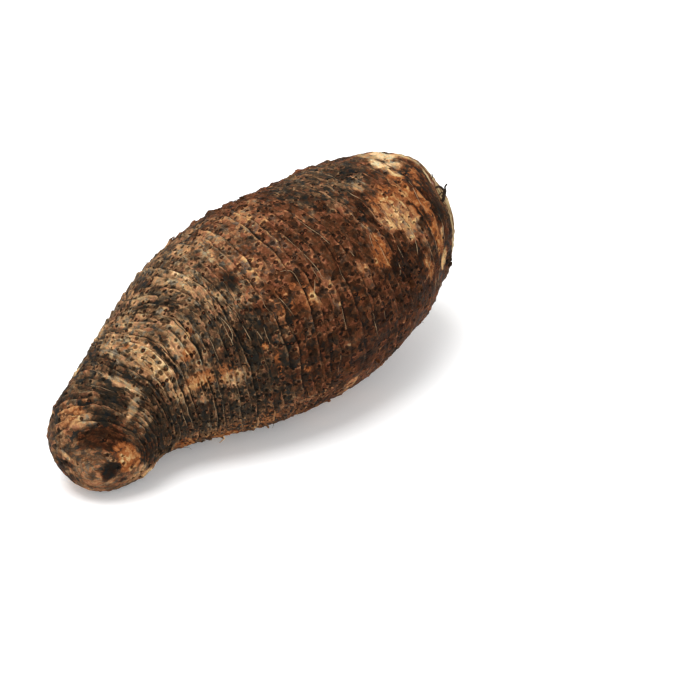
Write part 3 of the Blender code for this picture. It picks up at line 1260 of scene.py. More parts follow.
@dataclass(frozen=True)
class BarkFinish(SkinFinish):
    """The same bark on a loose flake, paler along its torn edge."""

    fine_grain: Grain = Grain(1.0, 3.0, 0.72, 2.4)
    own_wear: float = 0.16
    edge_wear: float = 0.14
    streak_wear: float = 0.20
    grain_wear: float = 0.17
    depth: float = 0.0003
    dullness: float = 0.75

    def make(self) -> Material:
        """Build the material.

        Returns:
            The material. It reads the flakes' own attributes.
        """
        board = NodeBoard("loose_bark")
        place = board.vector("unrolled")
        bare_skin, redness, rusted = board.parts(board.vector("tones"))
        own, edge, _ = board.parts(board.vector("plate"))
        streak = self._streak(board, place)
        grain = board.noise(place, self.fine_grain)
        bareness = board.sum(
            bare_skin,
            board.times(own, self.own_wear),
            board.times(edge, self.edge_wear),
            board.times(streak, self.streak_wear),
            board.times(grain, self.grain_wear),
        )
        bareness = board.math("ADD", bareness, 0.0, clamp=True)
        colour = self._colour(board, place, bareness, redness, rusted, streak, grain, own)
        board.relief(board.sum(streak, grain), self.depth)
        return board.finish(colour, self.dullness, self.gloss)


@dataclass(frozen=True)
class FibreFinish:
    """Dry fibre of one colour, with darker lengths."""

    name: str
    dark: Colour
    pale: Colour
    lengths: Grain = Grain(0.005, 3.0, 0.6, 2.0)
    dullness: float = 0.8
    gloss: float = 0.12

    def make(self) -> Material:
        """Build the material.

        Returns:
            The material. It reads the piece's own coordinates, in metres.
        """
        board = NodeBoard(self.name)
        place = board.add("TexCoord", {}).outputs["Object"]
        share = board.ease(board.noise(place, self.lengths), -0.5, 0.4)
        return board.finish(board.mix(share, self.dark, self.pale), self.dullness, self.gloss)


@dataclass
class CormSkin:
    """The corm's whole skin, from the foot's scar to the cut crown."""

    grid: SkinGrid
    pits: RootPits
    tones: SkinTones
    finish: SkinFinish
    ripple: float = 0.26
    ripple_size: float = 2.6
    knobble: float = 0.35
    knobble_size: float = 8.0
    tatter: float = 0.8
    tatter_size: float = 3.0
    crispness: float = 1.5
    folds: tuple[Fold, ...] = (
        Fold(246.5, 34, 3.0, 16, 1.3), Fold(242.0, 62, 3.2, 16, 1.3), Fold(249.8, 42, 2.2, 24, -1.2),
        Fold(238.8, 44, 2.2, 20, -1.4), Fold(235.0, 52, 2.4, 18, 0.9), Fold(246.5, -1, 2.8, 13, 0.8),
        Fold(251.5, 8, 2.0, 12, -1.1), Fold(262.0, 18, 2.2, 14, -1.0), Fold(256.0, -14, 3.4, 12, 0.8),
        Fold(240.5, 14, 2.0, 12, -0.7), Fold(212.0, 44, 1.6, 20, -0.6), Fold(202.0, 60, 1.4, 14, 0.5),
        Fold(81.0, 25, 1.6, 30, -0.5), Fold(61.0, 15, 2.6, 40, -0.5),
    )
    crown: Place = (264.0, 270.0)
    crown_waver: float = 2.0
    crown_fade: float = 6.0
    sheath_gap: float = 6.4
    sheath_height: float = 1.0
    sheath_sink: float = 0.35
    rest: BVHTree = field(init=False)

    def build(self) -> bpy.types.Object:
        """Model the skin, with its attributes and its finish.

        Returns:
            The skin.
        """
        tube = self.grid.spun_tube()
        spots = self.grid.spots(np.array([vertex.co for vertex in tube.verts]))
        for vertex, point in zip(tube.verts, spots.smooth):
            vertex.co = point
        settle(tube)
        tube.normal_update()
        normals = np.array([vertex.normal for vertex in tube.verts])
        points = spots.smooth + normals * self._heights(spots)[:, None]
        points[:, 2] = np.maximum(points[:, 2], 0.0)
        for vertex, point in zip(tube.verts, points * MM):
            vertex.co = point
        mesh = bpy.data.meshes.new("corm_skin")
        tube.to_mesh(mesh)
        tube.free()
        mesh.shade_smooth()
        self._note(mesh, spots)
        mesh.materials.append(self.finish.make())
        skin = bpy.data.objects.new("corm_skin", mesh)
        show(skin)
        self.rest = BVHTree.FromObject(skin, bpy.context.evaluated_depsgraph_get())
        return skin

    def on_skin(self, smooth: Iterable[Array]) -> list[tuple[Vector, Vector]]:
        """Find the finished skin nearest to points.

        Args:
            smooth: Points in millimetres, on the smooth skin.

        Returns:
            For each one the point in metres, and the skin's direction outwards there.
        """
        return [self.rest.find_nearest(Vector(point) * MM)[:2] for point in smooth]

    def seat(self, along: float, degrees: float) -> tuple[Vector, Vector]:
        """Find one place on the finished skin.

        Args:
            along: Its distance along the outline, as the patches give it.
            degrees: Its degrees round.

        Returns:
            Its point in metres, and the skin's direction outwards there.
        """
        return self.on_skin(self.grid.form.skin(np.array([along]), np.radians([degrees]), False))[0]

    def _heights(self, spots: SkinSpots) -> Array:
        """Work out how high the finished skin stands.

        Args:
            spots: The skin's vertices.

        Returns:
            The height of each above the smooth skin, in millimetres.
        """
        grid, along, smooth = self.grid, spots.along, spots.smooth
        band = grid.row_band[spots.row]
        start, end = grid.band_start[band], grid.band_end[band]
        share = (grid.rows[spots.row] - start) / (end - start)
        before, after = grid.band_steps[band], grid.band_steps[band + 1]
        lip = after * share**self.crispness - before * (1 - share) ** self.crispness
        torn = 1.0 + self.tatter * soft_noise(smooth, self.tatter_size, 17.4)
        height = grid.form.swellings(smooth) + lip / 2 * grid.scars.strength(along, smooth) * torn
        height += self.ripple * soft_noise(smooth, self.ripple_size, 5.1)
        height += self.knobble * soft_noise(smooth, self.knobble_size, 7.3)
        place, degrees = along + grid.form.lean(along, spots.angle), np.degrees(spots.angle)
        height += sum(fold.height(place, degrees) for fold in self.folds)
        return height + self.pits.hollow(smooth) + self._sheaths(along)

    def _sheaths(self, along: Array) -> Array:
        """Raise the rings of cut leaf sheaths on the crown.

        Args:
            along: Distances along the outline.

        Returns:
            Their height at each, in millimetres.
        """
        end = self.grid.form.length
        wave = ((along - self.crown[0]) / self.sheath_gap) % 1.0
        fade = ease(along, *self.crown) * ease(along, end, end - self.crown_fade)
        return fade * self.sheath_height * (wave**2 - self.sheath_sink)

    def _note(self, mesh: bpy.types.Mesh, spots: SkinSpots) -> None:
        """Write the attributes that the finish reads.

        Args:
            mesh: The skin's mesh.
            spots: Its vertices.
        """
        form, along, angle = self.grid.form, spots.along, spots.angle
        self._layer(mesh, "unrolled", "POINT", form.unrolled(along, angle))
        tones = self.tones.fields(along + form.lean(along, angle), np.degrees(angle), spots.smooth)
        self._layer(mesh, "tones", "POINT", tones)
        edge = along + self.crown_waver * soft_noise(spots.smooth, 9.0, 15.0)
        self._layer(mesh, "cut", "POINT", ease(edge, *self.crown))
        self._layer(mesh, "bud", "POINT", self._bud_reach(spots.smooth))
        self._note_corners(mesh, spots)

    def _note_corners(self, mesh: bpy.types.Mesh, spots: SkinSpots) -> None:
        """Write where each face's corners are in the face's own band, and from its own pit.

        Args:
            mesh: The skin's mesh.
            spots: Its vertices.
        """
        grid = self.grid
        corners = np.empty(len(mesh.loops), np.int32)
        mesh.loops.foreach_get("vertex_index", corners)
        sizes = np.empty(len(mesh.polygons), np.int32)
        mesh.polygons.foreach_get("loop_total", sizes)
        face = np.repeat(np.arange(len(sizes)), sizes)
        first = np.concatenate([[0], np.cumsum(sizes)[:-1]])
        row = spots.row[corners]
        low = np.minimum.reduceat(row, first)[face]
        high = np.maximum.reduceat(row, first)[face]
        riser = grid.row_band[low] != grid.row_band[high]
        place = grid.rows[row]
        above = place - grid.band_start[grid.row_band[high]]
        below = np.where(riser, FAR_OFF, grid.band_end[grid.row_band[low]] - place)
        nearer = np.where(above < below, grid.row_band[high], grid.row_band[low] + 1)
        step = grid.band_steps[nearer] * grid.scars.strength(spots.along, spots.smooth)[corners]
        self._layer(mesh, "band", "CORNER", np.stack([above, below, step], axis=1))

        middles = np.add.reduceat(spots.smooth[corners], first) / sizes[:, None]
        pit = self.pits.places[self.pits.nearest(middles)[0][face]]
        beside = spots.along[corners] - pit[:, 0]
        turn = (spots.angle[corners] - pit[:, 1] + math.pi) % math.tau - math.pi
        around = turn * grid.form.radius(spots.along)[corners]
        self._layer(mesh, "pit", "CORNER", np.stack([beside, around, pit[:, 3]], axis=1))
        self._layer(mesh, "pit_radius", "CORNER", pit[:, 2])

    def _bud_reach(self, smooth: Array) -> Array:
        """Measure from the nearest side bud.

        Args:
            smooth: Points on the smooth skin.

        Returns:
            Each one's distance from the bud's middle.
        """
        middles = [self.grid.form.point(along, degrees) for along, degrees, *_ in self.grid.form.buds]
        return np.minimum.reduce([np.linalg.norm(smooth - middle, axis=1) for middle in middles])

    def _layer(self, mesh: bpy.types.Mesh, name: str, domain: str, values: Array) -> None:
        """Write one attribute.

        Args:
            mesh: The mesh.
            name: The attribute's name.
            domain: What it belongs to: POINT or CORNER.
            values: A number, or a vector of three, for each of them.
        """
        vector = values.ndim == 2
        layer = mesh.attributes.new(name, "FLOAT_VECTOR" if vector else "FLOAT", domain)
        layer.data.foreach_set("vector" if vector else "value", np.ravel(values).astype(np.float32))


@dataclass(frozen=True)
class Strand:
    """One thin round fibre, thread or curl. Its points are in metres and its radii in millimetres."""

    points: Array
    radii: Array
    closed: bool = False


def make_strands(name: str, strands: Sequence[Strand], finish: FibreFinish) -> None:
    """Draw strands as one bevelled curve, and make one piece of them.

    Args:
        name: The piece's name.
        strands: The strands.
        finish: Their finish.
    """
    curve = bpy.data.curves.new(name, "CURVE")
    curve.dimensions = "3D"
    curve.bevel_depth = MM
    curve.bevel_resolution = 1
    curve.use_fill_caps = True
    for strand in strands:
        spline = curve.splines.new("POLY")
        spline.points.add(len(strand.points) - 1)
        spline.use_cyclic_u = strand.closed
        for dot, point, radius in zip(spline.points, strand.points, strand.radii):
            dot.co = (*point, 1.0)
            dot.radius = radius
    guide = bpy.data.objects.new(name, curve)
    show(guide)
    mesh = bpy.data.meshes.new_from_object(guide.evaluated_get(bpy.context.evaluated_depsgraph_get()))
    bpy.data.objects.remove(guide)
    bpy.data.curves.remove(curve)
    shape = bmesh.new()
    shape.from_mesh(mesh)
    bpy.data.meshes.remove(mesh)
    finish_piece(name, shape, finish.make())


def settle(shape: Shape) -> None:
    """Turn a shape's faces outwards, and put them in an order that is the same each run.

    Args:
        shape: The shape. Blender's spin and extrude leave its faces in no fixed order.
    """
    bmesh.ops.recalc_face_normals(shape, faces=shape.faces)
    shape.verts.index_update()
    count = len(shape.verts)
    shape.faces.sort(key=lambda face: face.verts[0].index * count + face.verts[2].index)


def finish_piece(name: str, shape: Shape, material: Material) -> None:
    """Close a shape's seams, give it its finish, and make it part of the corm.

    Args:
        name: The piece's name.
        shape: Its shape, in metres. It is freed.
        material: Its material.
    """
    bmesh.ops.remove_doubles(shape, verts=shape.verts, dist=1e-7)
    settle(shape)
    mesh = bpy.data.meshes.new(name)
    shape.to_mesh(mesh)
    shape.free()
    mesh.shade_smooth()
    mesh.materials.append(material)
    piece = bpy.data.objects.new(name, mesh)
    show(piece)
    seat_on_frame(piece)


@dataclass
class RingFibres:
    """Pale fibres along the scars' lips, where the leaf bases have frayed, and round a few dark flakes."""

    skin: CormSkin
    random: np.random.Generator
    finish: FibreFinish = FibreFinish("fibre", (0.07, 0.036, 0.018), (0.42, 0.285, 0.16))
    count: int = 190
    reach: Place = (40.0, 262.0)
    lengths: Place = (5.0, 21.0)
    radii: Place = (0.07, 0.16)
    step: float = 1.1
    lift: float = 0.5
    starts: Place = (-0.5, -0.2)
    slopes: Place = (-0.06, 0.06)
    end_share: float = 0.35
    fullness: float = 2.6
    routes: tuple[Places, ...] = (
        ((160.4, 19), (161.0, 26), (161.7, 33), (162.3, 38), (162.9, 44), (162.9, 49)),
        ((172.9, 14), (173.5, 21), (174.8, 27), (175.4, 35)),
        ((116.8, 38), (118.1, 45), (117.4, 51), (114.3, 55)), ((123.7, 36), (124.9, 42), (124.3, 47)),
        ((123.7, 50), (123.7, 61)), ((128.0, 56), (128.6, 63)),
        ((148.6, 36), (152.3, 38), (152.9, 42), (152.3, 49)),
        ((141.7, 35), (141.7, 43), (143.0, 51), (144.2, 60)), ((159.2, 48), (155.4, 56)),
        ((136.1, -8), (139.9, -7), (141.7, -1), (141.1, 3), (137.4, 1), (134.9, -4), (136.1, -8)),
        ((239.6, 13), (238.9, 20), (238.9, 27), (236.4, 34)), ((209.0, 11), (210.3, 17), (211.5, 22)),
        ((198.4, 17), (197.8, 24), (197.2, 31), (199.1, 36), (196.6, 41), (194.1, 48), (191.0, 53)),
        ((203.4, 55), (203.4, 61), (200.9, 68)),
        ((245.8, 16), (245.8, 25), (244.5, 34), (242.0, 43), (242.0, 52)),
        ((223.4, 52), (220.9, 60), (218.4, 67)), ((228.3, 74), (222.7, 81), (216.5, 84)),
        ((181.6, 42), (182.2, 47)), ((74.4, 6), (77.6, 20), (78.8, 33), (78.2, 46), (75.1, 53)),
        ((52.0, -4), (54.5, 10), (54.5, 23), (55.1, 35), (53.3, 43)),
    )

    def build(self) -> None:
        """Lay every fibre and make one piece of them."""
        strands = [self._along_a_lip() for _ in range(self.count)]
        strands += [self._on_route(route) for route in self.routes]
        make_strands("ring_fibres", strands, self.finish)

    def _along_a_lip(self) -> Strand:
        """Draw a fibre on one scar's lip, somewhere round the girth.

        Returns:
            The fibre.
        """
        grid = self.skin.grid
        lips = grid.scars.places
        lips = lips[(lips > self.reach[0]) & (lips < self.reach[1])]
        place, length = self.random.choice(lips), self.random.uniform(*self.lengths)
        steps = np.arange(0.0, length, self.step)
        angle = self.random.uniform(0, math.tau) + steps / grid.form.radius(np.array([place]))[0]
        shift = self.random.uniform(*self.starts) + self.random.uniform(*self.slopes) * steps
        smooth = grid.form.skin(grid.strayed(place + shift, angle), angle)
        return self._laid(smooth, self.random.uniform(*self.radii))

    def _on_route(self, route: Sequence[Place]) -> Strand:
        """Draw a fibre through given places.

        Args:
            route: The places.

        Returns:
            The fibre.
        """
        curve = Curve(route)
        along, degrees = curve.at(np.arange(0.0, curve.length, self.step)).T
        return self._laid(self.skin.grid.form.skin(along, np.radians(degrees), False), self.radii[1])

    def _laid(self, smooth: Array, radius: float) -> Strand:
        """Lay a fibre on the finished skin, so that it bridges small hollows and thins towards its ends.

        Args:
            smooth: Its points on the smooth skin.
            radius: Its radius in the middle, in millimetres.

        Returns:
            The fibre.
        """
        seats = self.skin.on_skin(smooth)
        points = np.array([point + normal * self.lift * radius * MM for point, normal in seats])
        points[1:-1] = (points[:-2] + 2 * points[1:-1] + points[2:]) / 4
        points[:, 2] = np.maximum(points[:, 2], radius * MM)
        share = np.linspace(0.0, 1.0, len(points))
        return Strand(points, radius * (self.end_share + self.fullness * share * (1.0 - share)))


@dataclass
class RootThreads:
    """Dry hair roots that still stand in some of the pits, and one paler rootlet under the narrow half."""

    skin: CormSkin
    random: np.random.Generator
    hair: FibreFinish = FibreFinish("root_hair", (0.012, 0.008, 0.006), (0.10, 0.055, 0.03))
    pale: FibreFinish = FibreFinish("rootlet", (0.36, 0.15, 0.06), (0.66, 0.44, 0.25))
    count: int = 120
    reach: Place = (50.0, 250.0)
    lengths: Place = (2.5, 8.0)
    radius: float = 0.15
    taper: float = 0.35
    sunk: float = 0.3
    step: float = 0.6
    fewest_steps: int = 3
    scatter: float = 0.7
    curl: float = 0.35
    droop: float = 0.1
    named: Places = (
        (119.0, -46.0), (154.0, -39.0), (170.0, -35.0), (175.0, 131.0), (88.0, 128.0),
    )
    rootlet: Place = (98.0, 140.0)
    rootlet_length: float = 7.0
    rootlet_radius: float = 0.4

    def build(self) -> None:
        """Grow the threads and the rootlet, each a piece."""
        places = self.skin.pits.places
        places = places[(places[:, 0] > self.reach[0]) & (places[:, 0] < self.reach[1])]
        picks = places[self.random.choice(len(places), self.count, replace=False)]
        seats = self.skin.on_skin(self.skin.grid.form.skin(picks[:, 0], picks[:, 1]))
        seats += [self.skin.seat(*place) for place in self.named]
        strands = [self._grown(*seat, self.random.uniform(*self.lengths), self.radius) for seat in seats]
        make_strands("root_threads", strands, self.hair)
        rootlet = self._grown(*self.skin.seat(*self.rootlet), self.rootlet_length, self.rootlet_radius)
        make_strands("rootlet", [rootlet], self.pale)

    def _grown(self, start: Vector, normal: Vector, length: float, radius: float) -> Strand:
        """Let one root grow out of its pit, curl and droop, and lie on the skin where it meets it.

        Args:
            start: Where it leaves the skin, in metres.
            normal: The skin's direction outwards there.
            length: Its length in millimetres.
            radius: Its radius at the start, in millimetres.

        Returns:
            The root.
        """
        heading = (normal + Vector(self.random.normal(0.0, self.scatter, 3))).normalized()
        points = [start - normal * self.sunk * MM]
        points[0].z = max(points[0].z, radius * MM)
        for _ in range(max(self.fewest_steps, round(length / self.step))):
            heading += Vector(self.random.normal(0.0, self.curl, 3)) - Vector((0.0, 0.0, self.droop))
            heading.normalize()
            point = points[-1] + heading * self.step * MM
            near, outward, *_ = self.skin.rest.find_nearest(point)
            if (point - near).dot(outward) < radius * MM:
                point = near + outward * radius * MM
            point.z = max(point.z, radius * MM)
            points.append(point)
        return Strand(np.array(points), radius * np.linspace(1.0, self.taper, len(points)))


@dataclass(frozen=True)
class Curl:
    """A curl's foot on the skin, its bends from there in millimetres, and its radii at both ends.

    A bend is so far to the camera's right, so far up and so far into the picture.
    """

    foot: Place
    bends: tuple[Point, ...]
    radii: Place


@dataclass
class CrownTuft:
    """Black curls of dead leaf base at the crown's edge."""

    skin: CormSkin
    finish: FibreFinish = FibreFinish("dead_leaf_base", (0.006, 0.005, 0.005), (0.045, 0.028, 0.018))
    right: Point = (0.67, -0.74, 0.0)
    dots: int = 26
    curls: tuple[Curl, ...] = (
        Curl((268.0, 41.0), (
            (-1.0, -0.3, 0.3), (0.2, 0.2, 0.4), (1.0, 0.5, 0.5), (2.2, 0.7, 0.4),
            (3.6, -0.4, 0.0), (4.4, -2.0, -0.4), (4.0, -3.8, -0.4), (3.0, -5.2, 0.0),
        ), (0.68, 0.50)),
        Curl((268.0, 53.0), (
            (-0.6, -0.8, 0.0), (0.3, 0.6, 0.2), (0.8, 3.0, 0.3),
            (1.2, 6.0, 0.0), (0.9, 8.0, 0.0), (1.9, 9.8, 0.3),
        ), (0.95, 0.42)),
        Curl((267.0, 47.0), (
            (-0.4, -0.8, 0.0), (0.5, 0.0, 0.3), (1.4, 1.2, 0.4), (2.2, 1.0, 0.8), (2.6, -0.2, 0.8),
        ), (0.45, 0.25)),
        Curl((269.0, 32.0), (
            (-0.6, -0.8, 0.0), (0.3, 0.3, 0.8), (0.6, 1.1, 1.8), (0.2, 1.3, 3.0),
        ), (0.40, 0.20)),
    )

    def build(self) -> None:
        """Bend the curls and make one piece of them."""
        right = Vector(self.right)
        up = Vector((0.0, 0.0, 1.0))
        deep = up.cross(right)
        strands = []
        for curl in self.curls:
            curve = Curve(curl.bends)
            offsets = curve.at(np.linspace(0.0, curve.length, self.dots))
            foot = self.skin.seat(*curl.foot)[0]
            points = [foot + (right * x + up * z + deep * y) * MM for x, z, y in offsets]
            strands.append(Strand(np.array(points), np.linspace(*curl.radii, len(points))))
        make_strands("crown_tuft", strands, self.finish)


@dataclass
class BarkPlates:
    """Loose bark: torn edges that overhang the scars, and flakes on the skin between them."""

    skin: CormSkin
    random: np.random.Generator
    finish: BarkFinish
    tatters: int = 340
    tatter_reach: Place = (30.0, 262.0)
    tatter_lengths: Place = (3.5, 16.0)
    tatter_widths: Place = (0.9, 2.1)
    tatter_lifts: Place = (0.15, 0.75)
    tatter_owns: Place = (-1.0, 0.8)
    tatter_cell: float = 1.2
    fewest_cells: int = 4
    root_inset: float = 0.4
    root_share: float = 0.4
    torn_mean: float = 0.75
    torn_swing: float = 0.7
    torn_size: float = 1.6
    narrowest: float = 0.15
    tatter_bend: float = 1.4
    end_droop: float = 0.6
    flakes: int = 300
    flake_cells: tuple[int, int] = (7, 6)
    flake_sizes: Place = (0.6, 1.5)
    flake_stretch: Place = (1.4, 3.2)
    flake_reach: Place = (30.0, 258.0)
    flake_owns: Place = (-1.2, 0.6)
    flake_twists: Place = (-0.5, 0.5)
    flake_nicks: float = 0.8
    nick_size: float = 0.55
    flake_rise: float = 0.12
    flake_hinge: float = 0.4
    flake_bend: float = 1.5
    lifted: float = 0.3
    named: tuple[tuple[float, float, float, float, Hold], ...] = (
        (167.0, -16.0, 2.3, 4.6, Hold.FLAT), (146.0, -41.0, 3.4, 7.5, Hold.LIFTED),
        (153.0, -36.0, 3.0, 7.0, Hold.LIFTED), (161.0, -33.0, 3.4, 8.0, Hold.LIFTED),
        (134.0, -45.0, 3.0, 4.0, Hold.LIFTED), (176.0, -29.0, 2.8, 7.0, Hold.LIFTED),
        (206.0, -27.0, 2.6, 4.4, Hold.LIFTED), (142.0, -32.0, 2.4, 3.4, Hold.FLAT),
        (182.0, -20.0, 2.0, 3.4, Hold.FLAT), (216.6, 12.0, 1.9, 4.3, Hold.FLAT),
    )
    thickness: float = 0.2
    sunk: float = 0.15

    def build(self) -> None:
        """Lay every flake and torn edge, thicken them, and make one piece of them."""
        sheet = bmesh.new()
        layers = {name: sheet.verts.layers.float_vector.new(name) for name in ("unrolled", "tones", "plate")}
        plates = [self._tatter(sheet) for _ in range(self.tatters)]
        plates += [self._flake(sheet, *self._drawn_flake()) for _ in range(self.flakes)]
        plates += [self._flake(sheet, *flake) for flake in self.named]
        points, along, angle, plate = (np.concatenate(parts) for parts in zip(*plates))
        form = self.skin.grid.form
        smooth = form.skin(along, angle, False)
        values = {
            "unrolled": form.unrolled(along, angle),
            "tones": self.skin.tones.fields(along, np.degrees(angle), smooth),
            "plate": plate,
        }
        sheet.verts.ensure_lookup_table()
        for i, vertex in enumerate(sheet.verts):
            vertex.co = points[i]
            for name, layer in layers.items():
                vertex[layer] = values[name][i]
        bmesh.ops.solidify(sheet, geom=sheet.faces[:], thickness=self.thickness * MM)
        for vertex in sheet.verts:
            vertex.co.z = max(vertex.co.z, 0.0)
        finish_piece("loose_bark", sheet, self.finish.make())

    def _grid(self, sheet: Shape, across: int, deep: int) -> tuple[Array, Array]:
        """Add one grid.

        Args:
            sheet: Where to.
            across: How many cells it has across.
            deep: How many it has the other way.

        Returns:
            Its vertices' two coordinates, each from -1 to 1.
        """
        grid = bmesh.ops.create_grid(sheet, x_segments=across, y_segments=deep, size=1.0)
        flat = np.array([vertex.co for vertex in grid["verts"]])
        return flat[:, 0], flat[:, 1]

    def _tatter(self, sheet: Shape) -> tuple[Array, ...]:
        """Add one torn edge, rooted on its scar's lip, and free and raised towards the crown.

        Args:
            sheet: Where to.

        Returns:
            Its points in metres, their places along and angles, and their values for the finish.
        """
        grid = self.skin.grid
        form = grid.form
        places = grid.scars.places
        place = self.random.choice(places[(places > self.tatter_reach[0]) & (places < self.tatter_reach[1])])
        length = self.random.uniform(*self.tatter_lengths)
        width = self.random.uniform(*self.tatter_widths)
        lift = self.random.uniform(*self.tatter_lifts)
        x, y = self._grid(sheet, max(self.fewest_cells, round(length / self.tatter_cell)), 2)
        free = (y + 1.0) / 2
        centre = self.random.uniform(0, math.tau)
        angle = centre + x * length / 2 / form.radius(np.array([place]))[0]
        lip = grid.strayed(np.full(len(x), place - self.root_inset), angle)
        root, beyond = form.skin(lip, angle), form.skin(lip + 1.5, angle)
        forward = (beyond - root) / np.linalg.norm(beyond - root, axis=1, keepdims=True)
        torn = self.torn_mean + self.torn_swing * soft_noise(root, self.torn_size, 3.0 + centre)
        reach = np.clip(width * np.sqrt(np.maximum(1.0 - x**2, 0.02)) * torn, self.narrowest, None)
        offset = (free - self.root_share) * reach
        raised = free**self.tatter_bend * (1.0 - self.end_droop * x**4)
        height = (lift + self.sunk) * raised - self.sunk
        seats = self.skin.on_skin(root)
        base = np.array([point for point, _ in seats])
        normals = np.array([normal for _, normal in seats])
        points = base + (forward * offset[:, None] + normals * height[:, None]) * MM
        plain = lip + form.lean(lip, angle) + offset
        own = self.random.uniform(*self.tatter_owns)
        return points, plain, angle, np.stack([np.full(len(x), own), free**2, free], axis=1)

    def _drawn_flake(self) -> tuple[float, float, float, float, Hold]:
        """Draw a flake at random.

        Returns:
            Its place, its half sizes in millimetres, and how it sits.
        """
        hold = Hold.LIFTED if self.random.random() < self.lifted else Hold.FLAT
        small, large = self.flake_sizes
        half = self.random.uniform(small, large)
        along, degrees = self.random.uniform(*self.flake_reach), self.random.uniform(-180.0, 180.0)
        return along, degrees, half, half * self.random.uniform(*self.flake_stretch), hold

    def _flake(
        self, sheet: Shape, along: float, degrees: float, half_along: float, half_around: float, hold: Hold,
    ) -> tuple[Array, ...]:
        """Add one rounded, ragged flake, which follows the skin and is raised towards one side.

        Args:
            sheet: Where to.
            along: The distance of its middle along the outline.
            degrees: Its middle's degrees round.
            half_along: Half its size along, in millimetres.
            half_around: Half its size round the girth, in millimetres.
            hold: How it sits.

        Returns:
            Its points in metres, their places along and angles, and their values for the finish.
        """
        form = self.skin.grid.form
        x, y = self._grid(sheet, *self.flake_cells)
        edge = np.maximum(abs(x), abs(y)) ** 2
        x, y = x * np.sqrt(1.0 - y**2 / 2), y * np.sqrt(1.0 - x**2 / 2)
        twist = self.random.uniform(*self.flake_twists)
        x, y = x * math.cos(twist) - y * math.sin(twist), x * math.sin(twist) + y * math.cos(twist)
        nicks = soft_noise(np.stack([x, y, np.full(len(x), along + degrees)], axis=1), self.nick_size)
        ragged = 1.0 + self.flake_nicks * nicks
        place = along + half_along * y * ragged
        angle = math.radians(degrees) + half_around * x * ragged / form.radius(np.array([along]))[0]
        hinge = self.flake_hinge
        raised = np.clip((y + hinge) / (1.0 + hinge), 0.0, 1.0) ** self.flake_bend
        height = self.flake_rise + hold.value * raised
        seats = self.skin.on_skin(form.skin(place, angle, False))
        points = np.array([point + normal * rise * MM for (point, normal), rise in zip(seats, height)])
        own = self.random.uniform(*self.flake_owns)
        return points, place, angle, np.stack([np.full(len(x), own), edge, np.zeros(len(x))], axis=1)


@dataclass
class CrownSheaths:
    """Torn collars of old leaf bases, one inside the other, round the cut crown."""

    skin: CormSkin
    finish: FibreFinish = FibreFinish("cut_sheath", (0.16, 0.065, 0.028), (0.58, 0.44, 0.25))
    collars: Places = (
        (281.0, 1.4), (285.5, 2.6), (290.5, 3.6), (296.0, 4.6), (301.0, 5.5),
    )
    segments: int = 96
    levels: int = 3
    flare: float = 0.22
    sunk: float = 0.8
    thickness: float = 0.45
    axis_end: Place = (250.0, 260.0)
    lowest: float = 0.6
    mean_share: float = 0.8
    lobes: Place = (0.7, 7.0)
    tears: Place = (0.15, 2.0)
    ruffles: Place = (0.3, 3.0)

    def build(self) -> None:
        """Stand the collars on the crown and make one piece of them."""
        start, end = self.skin.grid.form.axis.at(np.array(self.axis_end))
        ahead = (end - start) / np.linalg.norm(end - start)
        shape = bmesh.new()
        for along, tall in self.collars:
            self._collar(shape, along, tall, ahead)
        bmesh.ops.solidify(shape, geom=shape.faces[:], thickness=self.thickness * MM)
        finish_piece("crown_sheaths", shape, self.finish.make())

    def _collar(self, shape: Shape, along: float, tall: float, ahead: Array) -> None:
        """Stand one collar on the crown, level by level.

        Args:
            shape: Where to.
            along: Its foot's distance along the outline.
            tall: How tall it is, in millimetres.
            ahead: The crown's direction.
        """
        form = self.skin.grid.form
        ring = bmesh.ops.create_circle(shape, segments=self.segments, radius=1.0)["verts"]
        angle = np.array([math.atan2(vertex.co.x, vertex.co.y) for vertex in ring])
        seats = self.skin.on_skin(form.skin(np.full(len(ring), along), angle))
        middle = form.axis.at(form.outline.at(np.array([along]))[:, 0])[0]
        base = np.array([point for point, _ in seats]) / MM
        outward = base - middle
        outward -= (outward @ ahead)[:, None] * ahead
        outward /= np.linalg.norm(outward, axis=1, keepdims=True)
        lobes, tears, ruffles = self.lobes, self.tears, self.ruffles
        uneven = self.mean_share + lobes[0] * soft_noise(base, lobes[1], along)
        torn = tall * (uneven + tears[0] * soft_noise(base, tears[1], along))
        edges = list(dict.fromkeys(edge for vertex in ring for edge in vertex.link_edges))
        level = ring
        for step in range(self.levels + 1):
            share = step / self.levels
            rise = (np.clip(torn, self.lowest, None) + self.sunk) * share - self.sunk
            ruffle = ruffles[0] * soft_noise(base, ruffles[1], along + step)
            spread = self.flare * tall * share**2 + ruffle
            for vertex, point in zip(level, (base + ahead * rise[:, None] + outward * spread[:, None]) * MM):
                vertex.co = point
            if step < self.levels:
                grown = bmesh.ops.extrude_edge_only(shape, edges=edges)["geom"]
                edges = [part for part in grown if isinstance(part, bmesh.types.BMEdge)]
                level = self._matched(level, grown)

    def _matched(self, level: Corners, grown: Sequence[object]) -> Corners:
        """Put the new vertices of an extrusion in the order of those that they grew from.

        Args:
            level: The vertices that they grew from.
            grown: What the extrusion made.

        Returns:
            The new vertices.
        """
        fresh = {part for part in grown if isinstance(part, bmesh.types.BMVert)}
        return [
            next(edge.other_vert(vertex) for edge in vertex.link_edges if edge.other_vert(vertex) in fresh)
            for vertex in level
        ]


@dataclass(frozen=True)
class SoftLight:
    """A square soft light: its place in metres, the length of its side, and its power in watts."""

    name: str
    place: Point
    size: float
    power: float


